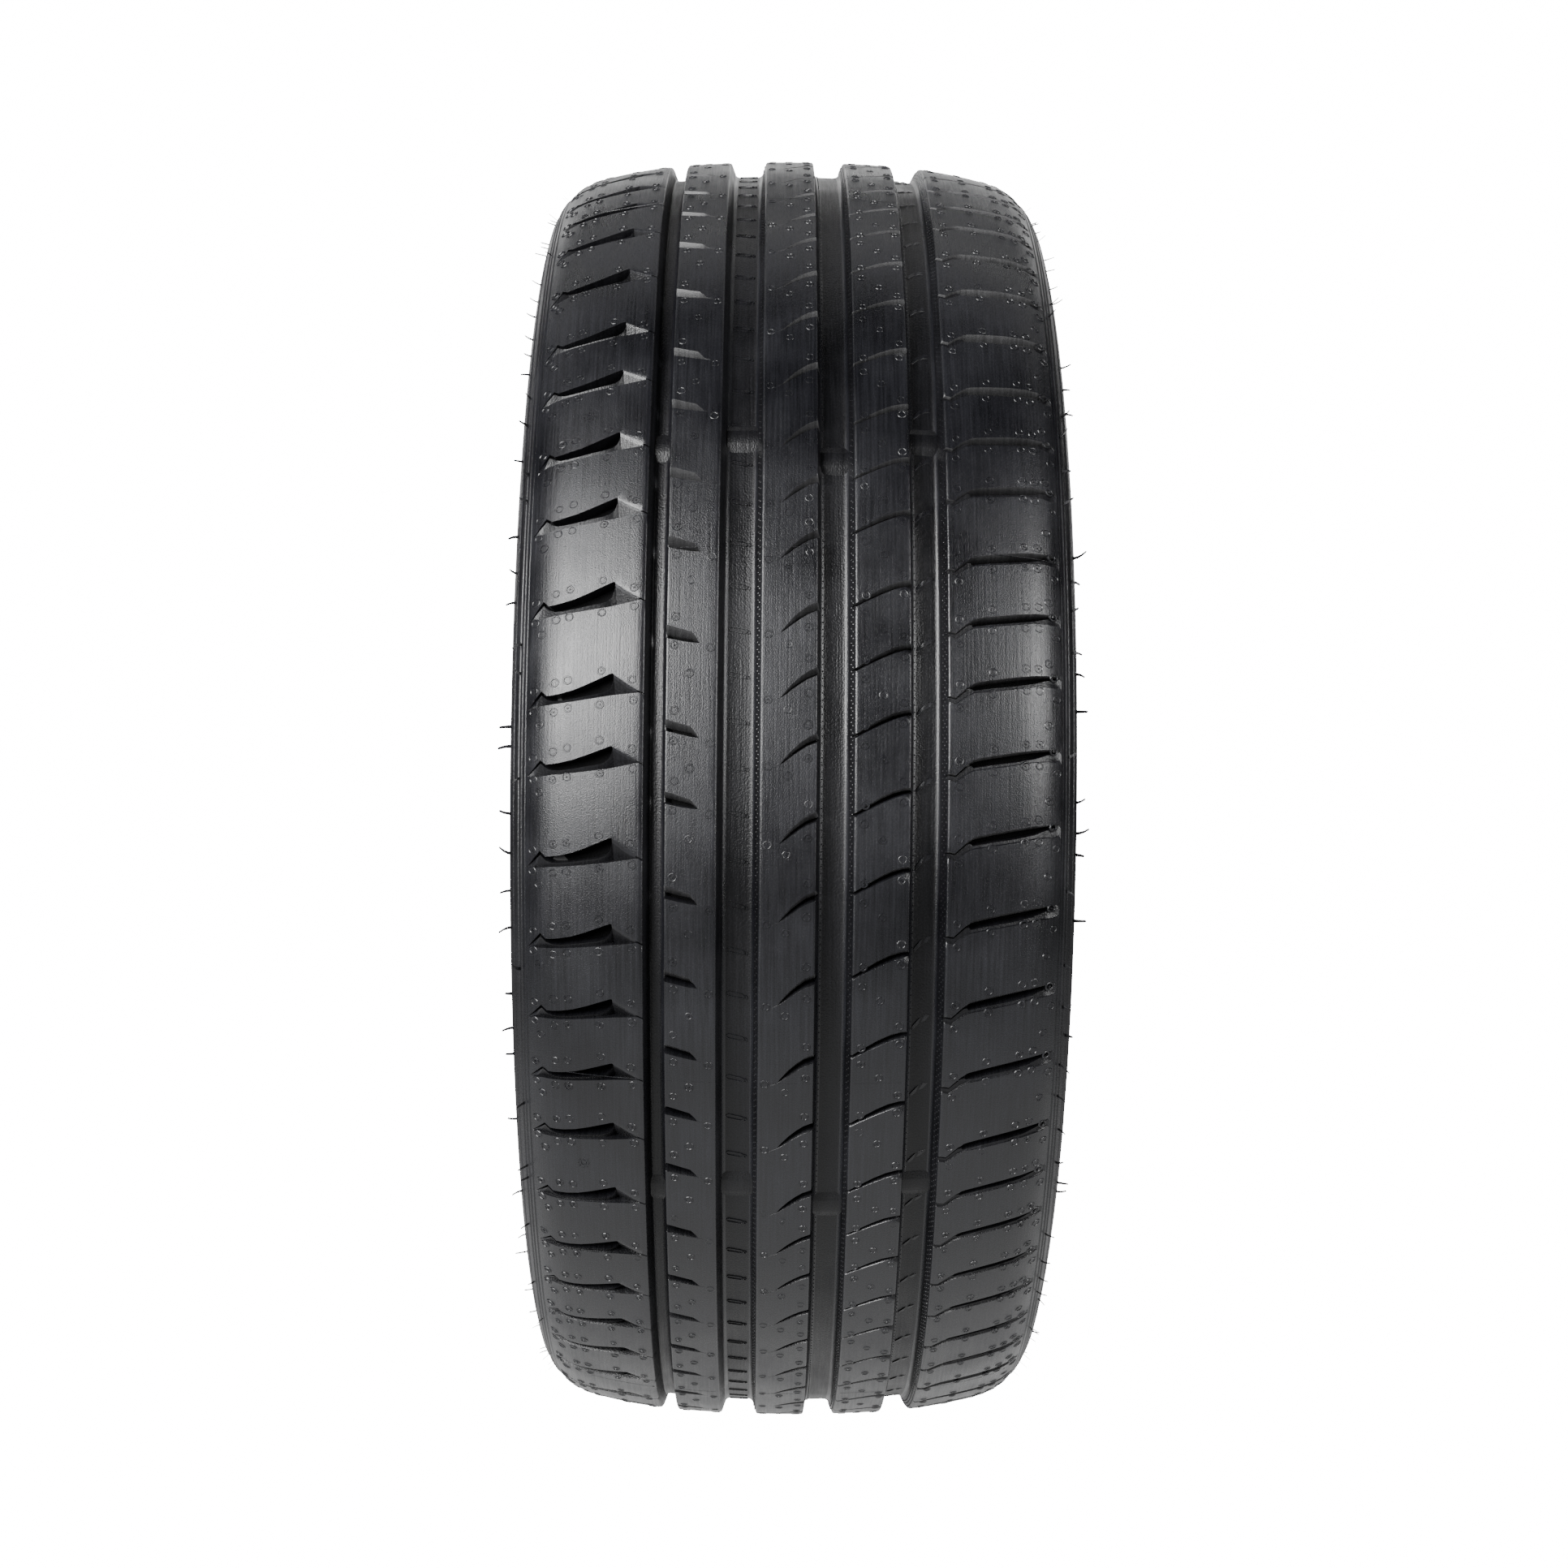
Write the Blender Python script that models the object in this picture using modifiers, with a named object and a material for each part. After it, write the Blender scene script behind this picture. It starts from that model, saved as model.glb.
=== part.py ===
"""Radial car tyre, 235 mm wide, 45 series, for a 17 inch rim, built up from its real layers.

The wheel's axis lies along Y and the origin is the centre of the wheel.  -Y is the outboard side,
+Y the inboard side, and the tyre stands on -Z.  Every piece is a turned ring.  Its half section is
drawn as (y, radius) points in millimetres, and a Screw modifier turns it about the wheel's axis.
"""

import math

import bmesh
import bpy
from mathutils import Matrix, Vector

# Driving dimensions, in millimetres
MM = 0.001
TYRE_RADIUS = 321.7  # half of the overall diameter
CENTRE_FLAT = 14.0  # half width of the flat middle of the tread
TREAD_HALF_WIDTH = 110.0
GROOVE_DEPTH = 7.2
CROWN_GAUGE = 17.1  # tread surface to the middle of the carcass ply
CLEARANCE = 0.3  # gap between neighbouring solids
SEGMENTS = 32  # flats around each ring

# The tread's surface beside its flat middle: radius of each arc, half width where it ends
CROWN_ARCS = ((450.0, 50.0), (250.0, 92.0), (55.0, 99.0), (30.4, 118.0))

# Grooves around the tread: left edge, left end of the floor, right end of the floor, right edge
GROOVES = (
    (-61.2, -59.2, -53.6, -52.2),
    (-31.4, -28.9, -16.9, -13.9),
    (8.7, 10.4, 21.3, 24.3),
    (46.7, 48.4, 59.2, 62.2),
)

# Blocks around the tread have unlike lengths, so that they hum less: millimetres for each letter
OUTER_LENGTHS = {"S": 28.7, "M": 32.0, "N": 35.2, "L": 39.1}
OUTER_ORDER = "SSSMNSSMNLSLLMNSLL" + "MSNLMSSNMLLSNMSNLMSNSMLSNMSLNMLSMNSLMSNSMLM"
OUTER_START = -299.5
INNER_LENGTHS = {"S": 25.0, "T": 27.0, "M": 29.0, "L": 32.0, "X": 35.0}
INNER_ORDER = "MSTSSXLXXLLTTLSTLLMMS" + "TMLSTXLMTSMLXTMSLTMLXMTSLMTXLSMTLMSTLXMTLSMXTLMT"
INNER_START = -309.5

# Slots across the tread, one in each block: two ends of the floor's middle line as (y, arc, depth)
SHOULDER_SLOT_ENDS = ((-74.5, -3.4, 6.5), (-103.5, -9.6, 3.6))
RIB_CUT_ENDS = ((22.5, -1.2, 6.0), (49.0, 11.2, 6.0))
INNER_SLOT_ENDS = ((72.5, 20.8, 6.5), (105.0, 26.0, 3.2))
SHOULDER_SLOT_WIDTH = 2.8
RIB_CUT_WIDTH = 1.6
INNER_SLOT_WIDTH = 3.0
CUTTER_HEIGHT = 14.0

# Layer thicknesses
PLY_THICKNESS = 1.2
LINER_THICKNESS = 1.3
BELT_THICKNESS = 1.2
CAP_PLY_THICKNESS = 0.9
EDGE_STRIP_THICKNESS = 0.8
BASE_THICKNESS = 1.3

# Half widths of the layers under the tread
INNER_BELT_HALF_WIDTH = 98.0
OUTER_BELT_HALF_WIDTH = 92.0
CAP_PLY_HALF_WIDTH = 101.0
EDGE_STRIP_START = 74.0

# The carcass ply's middle line: crown bend, then shoulder, flank and a straight run to the bead
CARCASS_CROWN_BEND = 600.0
CARCASS_CROWN_STATIONS = (0.0, 42.0, 84.5)
SHOULDER_BEND = 32.0
SHOULDER_STEPS = 3
FLANK_BEND = 34.0
FLANK_TURN = 38.0  # degrees
FLANK_STEPS = 2
BEAD_RUN = 27.5

# The bead: a hexagonal wire bundle, and the ply's way under it and up outside the filler
CORE_CENTRE = (94.4, 226.0)
CORE_CORNER_RADIUS = 3.3
TURN_UNDER_CORE = ((91.2, 221.7), (97.2, 221.7), (98.7, 224.0))
TURN_UP = ((98.7, 229.0), (108.6, 243.0), (112.7, 255.2), (113.5, 266.9))

# The outer skin below the widest point, down to the rim seat
SIDEWALL_SKIN = (
    (118.0, 276.0),
    (117.3, 266.0),
    (115.8, 257.0),
    (114.2, 250.0),
    (115.2, 246.5),
    (114.4, 242.0),
    (108.9, 237.6),
)
BEAD_SKIN = (
    (108.4, 237.2),
    (101.6, 230.8),
    (101.6, 222.6),
    (100.7, 219.7),
    (98.3, 218.3),
    (84.6, 217.1),
    (82.0, 218.4),
)

# Colour, roughness and metallic value of each kind of material
FINISHES = {
    "tread_rubber": ((0.022, 0.022, 0.024), 0.50, 0.0),
    "sidewall_rubber": ((0.026, 0.026, 0.028), 0.58, 0.0),
    "inner_rubber": ((0.034, 0.034, 0.034), 0.42, 0.0),
    "textile_cord": ((0.42, 0.36, 0.26), 0.85, 0.0),
    "steel_cord": ((0.46, 0.36, 0.22), 0.45, 0.8),
    "bead_wire": ((0.50, 0.44, 0.36), 0.35, 1.0),
}


# --- Lines and outlines, as lists of (y, radius) in millimetres ---


def crown_radius(y):
    """Radius of the tread's surface at a distance y from the centre plane."""
    radius = TYRE_RADIUS
    start = CENTRE_FLAT
    slope = 0.0
    for bend, end in CROWN_ARCS:
        reach = min(abs(y), end)
        if reach <= start:
            break
        new_slope = min(1.0, slope + (reach - start) / bend)
        radius -= bend * (math.sqrt(1 - slope**2) - math.sqrt(1 - new_slope**2))
        slope = new_slope
        start = reach
    return radius


def on_crown(*places):
    return [(y, crown_radius(y)) for y in places]


def offset(line, distance):
    """The line moved to its left by a distance, with mitred corners."""
    normals = []
    for (y0, r0), (y1, r1) in zip(line, line[1:]):
        length = math.hypot(y1 - y0, r1 - r0)
        normals.append(((r0 - r1) / length, (y1 - y0) / length))
    moved = []
    for index, (y, r) in enumerate(line):
        before = normals[max(index - 1, 0)]
        after = normals[min(index, len(normals) - 1)]
        share = distance / (1 + before[0] * after[0] + before[1] * after[1])
        moved.append((y + share * (before[0] + after[0]), r + share * (before[1] + after[1])))
    return moved


def band(line, low, high):
    """The closed strip between two offsets of a line."""
    return offset(line, high) + offset(line, low)[::-1]


def mirrored(points):
    return [(-y, r) for y, r in reversed(points)]


def carcass_crown(y):
    """A point of the carcass line in the crown, for a y from 0 to the belt's edge."""
    drop = CARCASS_CROWN_BEND - math.sqrt(CARCASS_CROWN_BEND**2 - y**2)
    return y, TYRE_RADIUS - CROWN_GAUGE - drop


def tangent_arc(start, heading, bend, turn, steps):
    """Points after the start along an arc that turns towards the axis. Headings are in degrees."""
    centre_y = start[0] - bend * math.sin(math.radians(heading))
    centre_r = start[1] - bend * math.cos(math.radians(heading))
    points = []
    for step in range(1, steps + 1):
        angle = math.radians(heading + turn * step / steps)
        points.append((centre_y + bend * math.sin(angle), centre_r + bend * math.cos(angle)))
    return points


def carcass_half():
    """The carcass line from the centre plane to the inner side of the bead."""
    line = [carcass_crown(y) for y in CARCASS_CROWN_STATIONS]
    heading = math.degrees(math.asin(CARCASS_CROWN_STATIONS[-1] / CARCASS_CROWN_BEND))
    line += tangent_arc(line[-1], heading, SHOULDER_BEND, 90 - heading, SHOULDER_STEPS)
    line += tangent_arc(line[-1], 90, FLANK_BEND, FLANK_TURN, FLANK_STEPS)
    down = math.radians(90 + FLANK_TURN)
    y, r = line[-1]
    line.append((y + BEAD_RUN * math.cos(down), r - BEAD_RUN * math.sin(down)))
    return line


def whole_line(half):
    """A line over both sides, from a half that starts on the centre plane."""
    return mirrored(half)[:-1] + half


def belt_half(start, end):
    """The belts' line between two distances from the centre plane."""
    stations = [*CARCASS_CROWN_STATIONS, CAP_PLY_HALF_WIDTH]
    corners = [carcass_crown(y) for y in stations]

    def cut(y):
        for (y0, r0), (y1, r1) in zip(corners, corners[1:]):
            if y <= y1:
                return y, r0 + (r1 - r0) * (y - y0) / (y1 - y0)
        return corners[-1]

    inside = [point for point in corners if start < point[0] < end]
    return [cut(start), *inside, cut(end)]


# --- Heights of the layers above the carcass line ---

INNER_BELT_LOW = PLY_THICKNESS / 2 + CLEARANCE
OUTER_BELT_LOW = INNER_BELT_LOW + BELT_THICKNESS + CLEARANCE
CAP_PLY_LOW = OUTER_BELT_LOW + BELT_THICKNESS + CLEARANCE
EDGE_STRIP_LOW = CAP_PLY_LOW + CAP_PLY_THICKNESS + CLEARANCE
BASE_EDGE_LOW = EDGE_STRIP_LOW + EDGE_STRIP_THICKNESS + CLEARANCE
BASE_TOP = BASE_EDGE_LOW + BASE_THICKNESS
CAP_LOW = BASE_TOP + CLEARANCE
PLY_SIDE = PLY_THICKNESS / 2 + CLEARANCE


# --- Outlines of the pieces; those of one side are drawn for the inboard side ---


def inner_liner():
    line = whole_line(carcass_half())
    return band(line, -PLY_SIDE - LINER_THICKNESS, -PLY_SIDE)


def carcass_ply():
    """One ply from bead to bead, turned up around each wire bundle."""
    line = whole_line([*carcass_half(), *TURN_UNDER_CORE, *TURN_UP])
    return band(line, -PLY_THICKNESS / 2, PLY_THICKNESS / 2)


def bead_core():
    y, r = CORE_CENTRE
    corners = []
    for corner in range(6):
        angle = math.radians(60 * corner)
        offset_y = CORE_CORNER_RADIUS * math.cos(angle)
        offset_r = CORE_CORNER_RADIUS * math.sin(angle)
        corners.append((y + offset_y, r + offset_r))
    return corners


def bead_filler():
    """The hard rubber wedge above the wire bundle, between the ply and its turn-up."""
    outside = offset(TURN_UP, PLY_SIDE)
    foot = CORE_CENTRE[1] + CORE_CORNER_RADIUS * math.sqrt(0.75) + CLEARANCE
    return [
        (92.9, foot),
        (97.7, foot),
        outside[1],
        (111.4, 254.8),
        (110.6, 253.9),
        (105.9, 245.6),
    ]


def rim_cushion():
    """The hard rubber around the bead, which sits on the rim."""
    around = offset([carcass_half()[-1], *TURN_UNDER_CORE, *TURN_UP[:2]], -PLY_SIDE)
    return [*BEAD_SKIN, (85.4, 224.2), *around[1:5], (104.9, 236.6)]


def sidewall():
    """The outer rubber from the tread's edge down to the rim cushion."""
    shoulder = on_crown(114.5, 116.6, 118.0)
    ply = offset(carcass_half(), PLY_SIDE)
    turn_up = offset(TURN_UP, -PLY_SIDE)
    top_of_turn_up = TURN_UP[-1][1] + CLEARANCE
    return [
        *shoulder,
        *SIDEWALL_SKIN,
        (105.3, 237.1),
        *turn_up[1:3],
        (turn_up[3][0], top_of_turn_up),
        (ply[5][0], top_of_turn_up),
        ply[4],
        (100.7, 292.4),
        (100.8, 296.4),
        (102.6, 299.4),
        (104.2, 300.1),
    ]


def belt_wedge():
    """The soft rubber under the belts' edges."""
    ply = offset(carcass_half(), PLY_SIDE)
    top = offset(belt_half(87.6, 100.1), INNER_BELT_LOW - CLEARANCE)
    return [*top, (100.2, 293.0), ply[3]]


def belt(half_width, low):
    return band(whole_line(belt_half(0.0, half_width)), low, low + BELT_THICKNESS)


def inner_belt():
    return belt(INNER_BELT_HALF_WIDTH, INNER_BELT_LOW)


def outer_belt():
    return belt(OUTER_BELT_HALF_WIDTH, OUTER_BELT_LOW)


def cap_ply():
    line = whole_line(belt_half(0.0, CAP_PLY_HALF_WIDTH))
    return band(line, CAP_PLY_LOW, CAP_PLY_LOW + CAP_PLY_THICKNESS)


def edge_strip():
    line = belt_half(EDGE_STRIP_START, CAP_PLY_HALF_WIDTH)
    return band(line, EDGE_STRIP_LOW, EDGE_STRIP_LOW + EDGE_STRIP_THICKNESS)


def tread_base():
    """The thin rubber under the tread, thicker between the two edge strips."""
    top = offset(whole_line(belt_half(0.0, CAP_PLY_HALF_WIDTH)), BASE_TOP)
    middle = offset(belt_half(0.0, EDGE_STRIP_START - CLEARANCE), EDGE_STRIP_LOW)
    edge = offset(belt_half(EDGE_STRIP_START - CLEARANCE, CAP_PLY_HALF_WIDTH), BASE_EDGE_LOW)
    return top + whole_line(middle + edge)[::-1]


def tread_cap():
    """The wearing part of the tread, with its grooves."""
    outside = on_crown(-TREAD_HALF_WIDTH, -105.0, -98.0, -84.0)
    for left, floor_left, floor_right, right in GROOVES:
        outside.append((left, crown_radius(left)))
        outside.append((floor_left, crown_radius(floor_left) - GROOVE_DEPTH))
        outside.append((floor_right, crown_radius(floor_right) - GROOVE_DEPTH))
        outside.append((right, crown_radius(right)))
    outside += on_crown(84.0, 98.0, 105.0, TREAD_HALF_WIDTH)
    inside = offset(whole_line(belt_half(0.0, CAP_PLY_HALF_WIDTH)), CAP_LOW)
    return outside + inside[::-1]


def tread_wing():
    """The strip of rubber that ties the tread's edge to the sidewall."""
    outside = on_crown(TREAD_HALF_WIDTH + CLEARANCE, 114.2)
    return [*outside, (104.3, 300.5), (102.8, 303.3)]


# --- Slots across the tread ---


def block_angles(order, lengths, start):
    """The angle at which each block around the tread starts."""
    sizes = [lengths[letter] for letter in order]
    whole = 2 * math.pi * TYRE_RADIUS
    arc = start
    angles = []
    for size in sizes:
        angles.append(arc / TYRE_RADIUS)
        arc += size * whole / sum(sizes)
    return angles


def flat_factor(angle):
    """How far a ring's flat lies outside the true circle at an angle."""
    flat = 2 * math.pi / SEGMENTS
    return 1 / math.cos(angle - flat * round(angle / flat))


def slot_matrix(angle, ends, width):
    """Turns a unit cube into the space of one slot, in world space."""
    middle_arc = (ends[0][1] + ends[1][1]) / 2
    angle += middle_arc / TYRE_RADIUS
    factor = flat_factor(angle)
    places = []
    for y, arc, depth in ends:
        places.append(Vector((y, arc - middle_arc, (crown_radius(y) - depth) * factor)))
    run = places[1] - places[0]
    along = run.normalized()
    across = Vector((0.0, 0.0, 1.0)).cross(along).normalized()
    up = along.cross(across)
    centre = (places[0] + places[1]) / 2 + up * (CUTTER_HEIGHT / 2)
    shape = Matrix((along * run.length, across * width, up * CUTTER_HEIGHT)).transposed().to_4x4()
    shape.translation = centre
    axial = Vector((0.0, 1.0, 0.0))
    upward = Vector((-math.sin(angle), 0.0, math.cos(angle)))
    outward = Vector((math.cos(angle), 0.0, math.sin(angle)))
    place = Matrix((axial, upward, outward)).transposed().to_4x4()
    return Matrix.Scale(MM, 4) @ place @ shape


def make_slot_cutter(collection):
    """All the slots as boxes in one object, which the tread cap is cut with."""
    outer = block_angles(OUTER_ORDER, OUTER_LENGTHS, OUTER_START)
    inner = block_angles(INNER_ORDER, INNER_LENGTHS, INNER_START)
    rows = (
        (outer, SHOULDER_SLOT_ENDS, SHOULDER_SLOT_WIDTH),
        (inner, RIB_CUT_ENDS, RIB_CUT_WIDTH),
        (inner, INNER_SLOT_ENDS, INNER_SLOT_WIDTH),
    )
    boxes = bmesh.new()
    for angles, ends, width in rows:
        for angle in angles:
            bmesh.ops.create_cube(boxes, size=1.0, matrix=slot_matrix(angle, ends, width))
    bmesh.ops.recalc_face_normals(boxes, faces=boxes.faces)
    mesh = bpy.data.meshes.new("slot_cutter")
    boxes.to_mesh(mesh)
    boxes.free()
    cutter = bpy.data.objects.new("slot_cutter", mesh)
    cutter.hide_render = True
    cutter.display_type = "WIRE"
    collection.objects.link(cutter)
    return cutter


# --- Building ---


def make_finish(name, kind):
    colour, roughness, metallic = FINISHES[kind]
    material = bpy.data.materials.new(name)
    material.use_nodes = True
    shader = material.node_tree.nodes["Principled BSDF"]
    shader.inputs["Base Color"].default_value = (*colour, 1.0)
    shader.inputs["Roughness"].default_value = roughness
    shader.inputs["Metallic"].default_value = metallic
    material.diffuse_color = (*colour, 1.0)
    return material


def clockwise(outline):
    """The outline in the order that turns into a ring with its faces pointing out."""
    area = 0.0
    for (y0, r0), (y1, r1) in zip(outline, outline[1:] + outline[:1]):
        area += y0 * r1 - y1 * r0
    return outline if area < 0 else outline[::-1]


def make_ring(name, outline, kind, collection, wheel):
    """A ring turned from a closed outline. Its flats touch the outline's true circles."""
    corner_factor = 1 / math.cos(math.pi / SEGMENTS)
    points = [(r * MM * corner_factor, 0.0, -y * MM) for y, r in clockwise(outline)]
    edges = [(index, (index + 1) % len(points)) for index in range(len(points))]
    mesh = bpy.data.meshes.new(name)
    mesh.from_pydata(points, edges, [])
    mesh.materials.append(make_finish(name, kind))
    ring = bpy.data.objects.new(name, mesh)
    collection.objects.link(ring)
    ring.parent = wheel
    ring.rotation_euler = (0.0, 0.0, math.pi / SEGMENTS)
    turn = ring.modifiers.new("Turn", "SCREW")
    turn.axis = "Z"
    turn.steps = SEGMENTS
    turn.render_steps = SEGMENTS
    turn.use_merge_vertices = True
    turn.merge_threshold = 0.00001
    turn.use_smooth_shade = False
    return ring


def make_pair(name, outline, kind, collection, wheel):
    """The outboard and inboard copies of a piece that is drawn for the inboard side."""
    make_ring(name + "_outboard", mirrored(outline), kind, collection, wheel)
    make_ring(name + "_inboard", outline, kind, collection, wheel)


def main():
    for old in list(bpy.data.objects):
        bpy.data.objects.remove(old)
    collection = bpy.data.collections.new("car_tyre")
    bpy.context.scene.collection.children.link(collection)
    cutters = bpy.data.collections.new("cutters")
    bpy.context.scene.collection.children.link(cutters)
    wheel = bpy.data.objects.new("wheel_axis", None)
    wheel.rotation_euler = (math.radians(90), 0.0, 0.0)
    collection.objects.link(wheel)

    make_ring("inner_liner", inner_liner(), "inner_rubber", collection, wheel)
    make_ring("carcass_ply", carcass_ply(), "textile_cord", collection, wheel)
    make_pair("bead_core", bead_core(), "bead_wire", collection, wheel)
    make_pair("bead_filler", bead_filler(), "inner_rubber", collection, wheel)
    make_pair("rim_cushion", rim_cushion(), "sidewall_rubber", collection, wheel)
    make_pair("sidewall", sidewall(), "sidewall_rubber", collection, wheel)
    make_pair("belt_wedge", belt_wedge(), "inner_rubber", collection, wheel)
    make_ring("inner_belt", inner_belt(), "steel_cord", collection, wheel)
    make_ring("outer_belt", outer_belt(), "steel_cord", collection, wheel)
    make_ring("cap_ply", cap_ply(), "textile_cord", collection, wheel)
    make_pair("edge_strip", edge_strip(), "textile_cord", collection, wheel)
    make_ring("tread_base", tread_base(), "inner_rubber", collection, wheel)
    tread = make_ring("tread_cap", tread_cap(), "tread_rubber", collection, wheel)
    slots = tread.modifiers.new("Slots", "BOOLEAN")
    slots.operation = "DIFFERENCE"
    slots.solver = "EXACT"
    slots.object = make_slot_cutter(cutters)
    make_pair("tread_wing", tread_wing(), "sidewall_rubber", collection, wheel)


main()
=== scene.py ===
"""Looks of the car tyre: a fine tread, sidewalls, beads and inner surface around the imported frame.

Lengths in the tables below are in millimetres.  The wheel's axis is Y and the outboard side is -Y.
A place on the tread is (y, arc): arc is measured upwards around the tread from its front, where the
surface faces +X.  A depth is measured down from the tread's surface.
"""

import bisect
import math
import random

import bmesh
import bpy
from mathutils import Matrix, Vector
from mathutils.geometry import delaunay_2d_cdt


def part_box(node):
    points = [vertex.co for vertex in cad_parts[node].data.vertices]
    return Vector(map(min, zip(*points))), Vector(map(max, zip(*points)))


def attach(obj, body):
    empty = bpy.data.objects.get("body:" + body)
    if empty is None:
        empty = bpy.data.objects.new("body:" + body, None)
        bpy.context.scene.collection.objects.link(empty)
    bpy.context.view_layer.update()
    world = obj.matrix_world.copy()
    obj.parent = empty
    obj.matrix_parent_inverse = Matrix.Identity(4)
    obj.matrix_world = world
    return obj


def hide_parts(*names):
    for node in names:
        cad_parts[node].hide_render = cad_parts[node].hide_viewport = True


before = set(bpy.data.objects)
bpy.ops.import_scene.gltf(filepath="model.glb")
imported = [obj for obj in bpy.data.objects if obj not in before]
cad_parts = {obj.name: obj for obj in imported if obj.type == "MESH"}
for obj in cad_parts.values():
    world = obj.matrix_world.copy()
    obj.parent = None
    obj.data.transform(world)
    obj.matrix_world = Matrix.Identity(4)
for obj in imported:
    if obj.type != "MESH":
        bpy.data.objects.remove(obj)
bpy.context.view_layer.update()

MM = 0.001
TWO_PI = 2 * math.pi
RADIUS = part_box("tread_cap")[1][0] / MM
CIRCUMFERENCE = TWO_PI * RADIUS

# --- The tread's surface: radius of each arc and the half width where it ends ---
CROWN_ARCS = ((700.0, 50.0), (250.0, 92.0), (55.0, 99.0), (30.0, 118.0))


def crown(y):
    """Radius of the smooth tread surface at y, and the sine and cosine of its tilt there."""
    radius = RADIUS
    start = 0.0
    sine = 0.0
    for bend, end in CROWN_ARCS:
        reach = min(abs(y), end)
        if reach <= start:
            break
        new_sine = min(1.0, sine + (reach - start) / bend)
        radius -= bend * (math.sqrt(1 - sine**2) - math.sqrt(1 - new_sine**2))
        sine = new_sine
        start = reach
    return radius, math.copysign(sine, y), math.sqrt(1 - sine**2)


def around(y, radius, angle):
    """A point in metres, from its place along the wheel's axis and around it."""
    return (radius * MM * math.cos(angle), y * MM, radius * MM * math.sin(angle))


def on_tread(y, angle, depth=0.0):
    """A point in metres at a depth under the tread's surface."""
    radius, sine, cosine = crown(y)
    return around(y - depth * sine, radius - depth * cosine, angle)


# --- Meshes ---


def link(name, data):
    """A new object in the scene, for a mesh, a light or a camera."""
    piece = bpy.data.objects.new(name, data)
    bpy.context.scene.collection.objects.link(piece)
    return piece


def mesh_piece(name, vertices, faces, material, sharp, replaces=()):
    """A piece of the tyre.  Its edges are sharp where faces meet at more than so many degrees."""
    mesh = bpy.data.meshes.new(name)
    mesh.from_pydata(vertices, [], faces)
    mesh.materials.append(material)
    mesh.shade_smooth()
    mesh.set_sharp_from_angle(angle=math.radians(sharp))
    piece = link(name, mesh)
    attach(piece, "root")
    if replaces:
        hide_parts(*replaces)
    return piece


def face_outwards(mesh):
    """Turns the faces of a closed mesh so that they all point outwards."""
    work = bmesh.new()
    work.from_mesh(mesh)
    bmesh.ops.recalc_face_normals(work, faces=work.faces)
    work.to_mesh(mesh)
    work.free()


def tube(rows, closed):
    """Vertices and faces of a tube along its cross sections, as a loop or with ends."""
    count = len(rows)
    size = len(rows[0])
    faces = []
    for k in range(count if closed else count - 1):
        here, there = size * k, size * ((k + 1) % count)
        for a in range(size):
            b = (a + 1) % size
            faces.append((here + a, here + b, there + b, there + a))
    if not closed:
        last = size * (count - 1)
        faces += [tuple(range(size))[::-1], tuple(range(last, last + size))]
    return [vertex for row in rows for vertex in row], faces


# --- Pitches: the blocks around the tread have unlike lengths, so that they hum less ---
OUTER_LENGTHS = {"S": 28.7, "M": 32.0, "N": 35.2, "L": 39.1}
OUTER_ORDER = "SSSMNSSMNLSLLMNSLL" + "MSNLMSSNMLLSNMSNLMSNSMLSNMSLNMLSMNSLMSNSMLM"
OUTER_START = -299.5
INNER_LENGTHS = {"S": 25.0, "T": 27.0, "M": 29.0, "L": 32.0, "X": 35.0}
INNER_ORDER = "MSTSSXLXXLLTTLSTLLMMS" + "TMLSTXLMTSMLXTMSLTMLXMTSLMTXLSMTLMSTLXMTLSMXTLMT"
INNER_START = -309.5


class PitchRing:
    """Angles of the pitches around the tread, counted up from a starting arc."""

    def __init__(self, order, lengths, start):
        sizes = [lengths[letter] for letter in order]
        factor = CIRCUMFERENCE / sum(sizes)
        self.count = len(sizes)
        self.mean = CIRCUMFERENCE / self.count
        self.arcs = [start]
        for size in sizes:
            self.arcs.append(self.arcs[-1] + size * factor)

    def angle(self, pitch):
        """Angle at a pitch number, which may be a fraction and may run past the ring's ends."""
        turns, inside = divmod(pitch, self.count)
        whole = int(inside)
        part = inside - whole
        arc = self.arcs[whole] + part * (self.arcs[whole + 1] - self.arcs[whole])
        return turns * TWO_PI + arc / RADIUS


outer_pitches = PitchRing(OUTER_ORDER, OUTER_LENGTHS, OUTER_START)
inner_pitches = PitchRing(INNER_ORDER, INNER_LENGTHS, INNER_START)


def follow(points, y):
    """Height at y of a line through (y, height) points."""
    places = [point[0] for point in points]
    k = min(max(bisect.bisect_right(places, y), 1), len(points) - 1)
    (y0, a0), (y1, a1) = points[k - 1], points[k]
    return a0 + (a1 - a0) * (min(max(y, y0), y1) - y0) / (y1 - y0)


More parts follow.
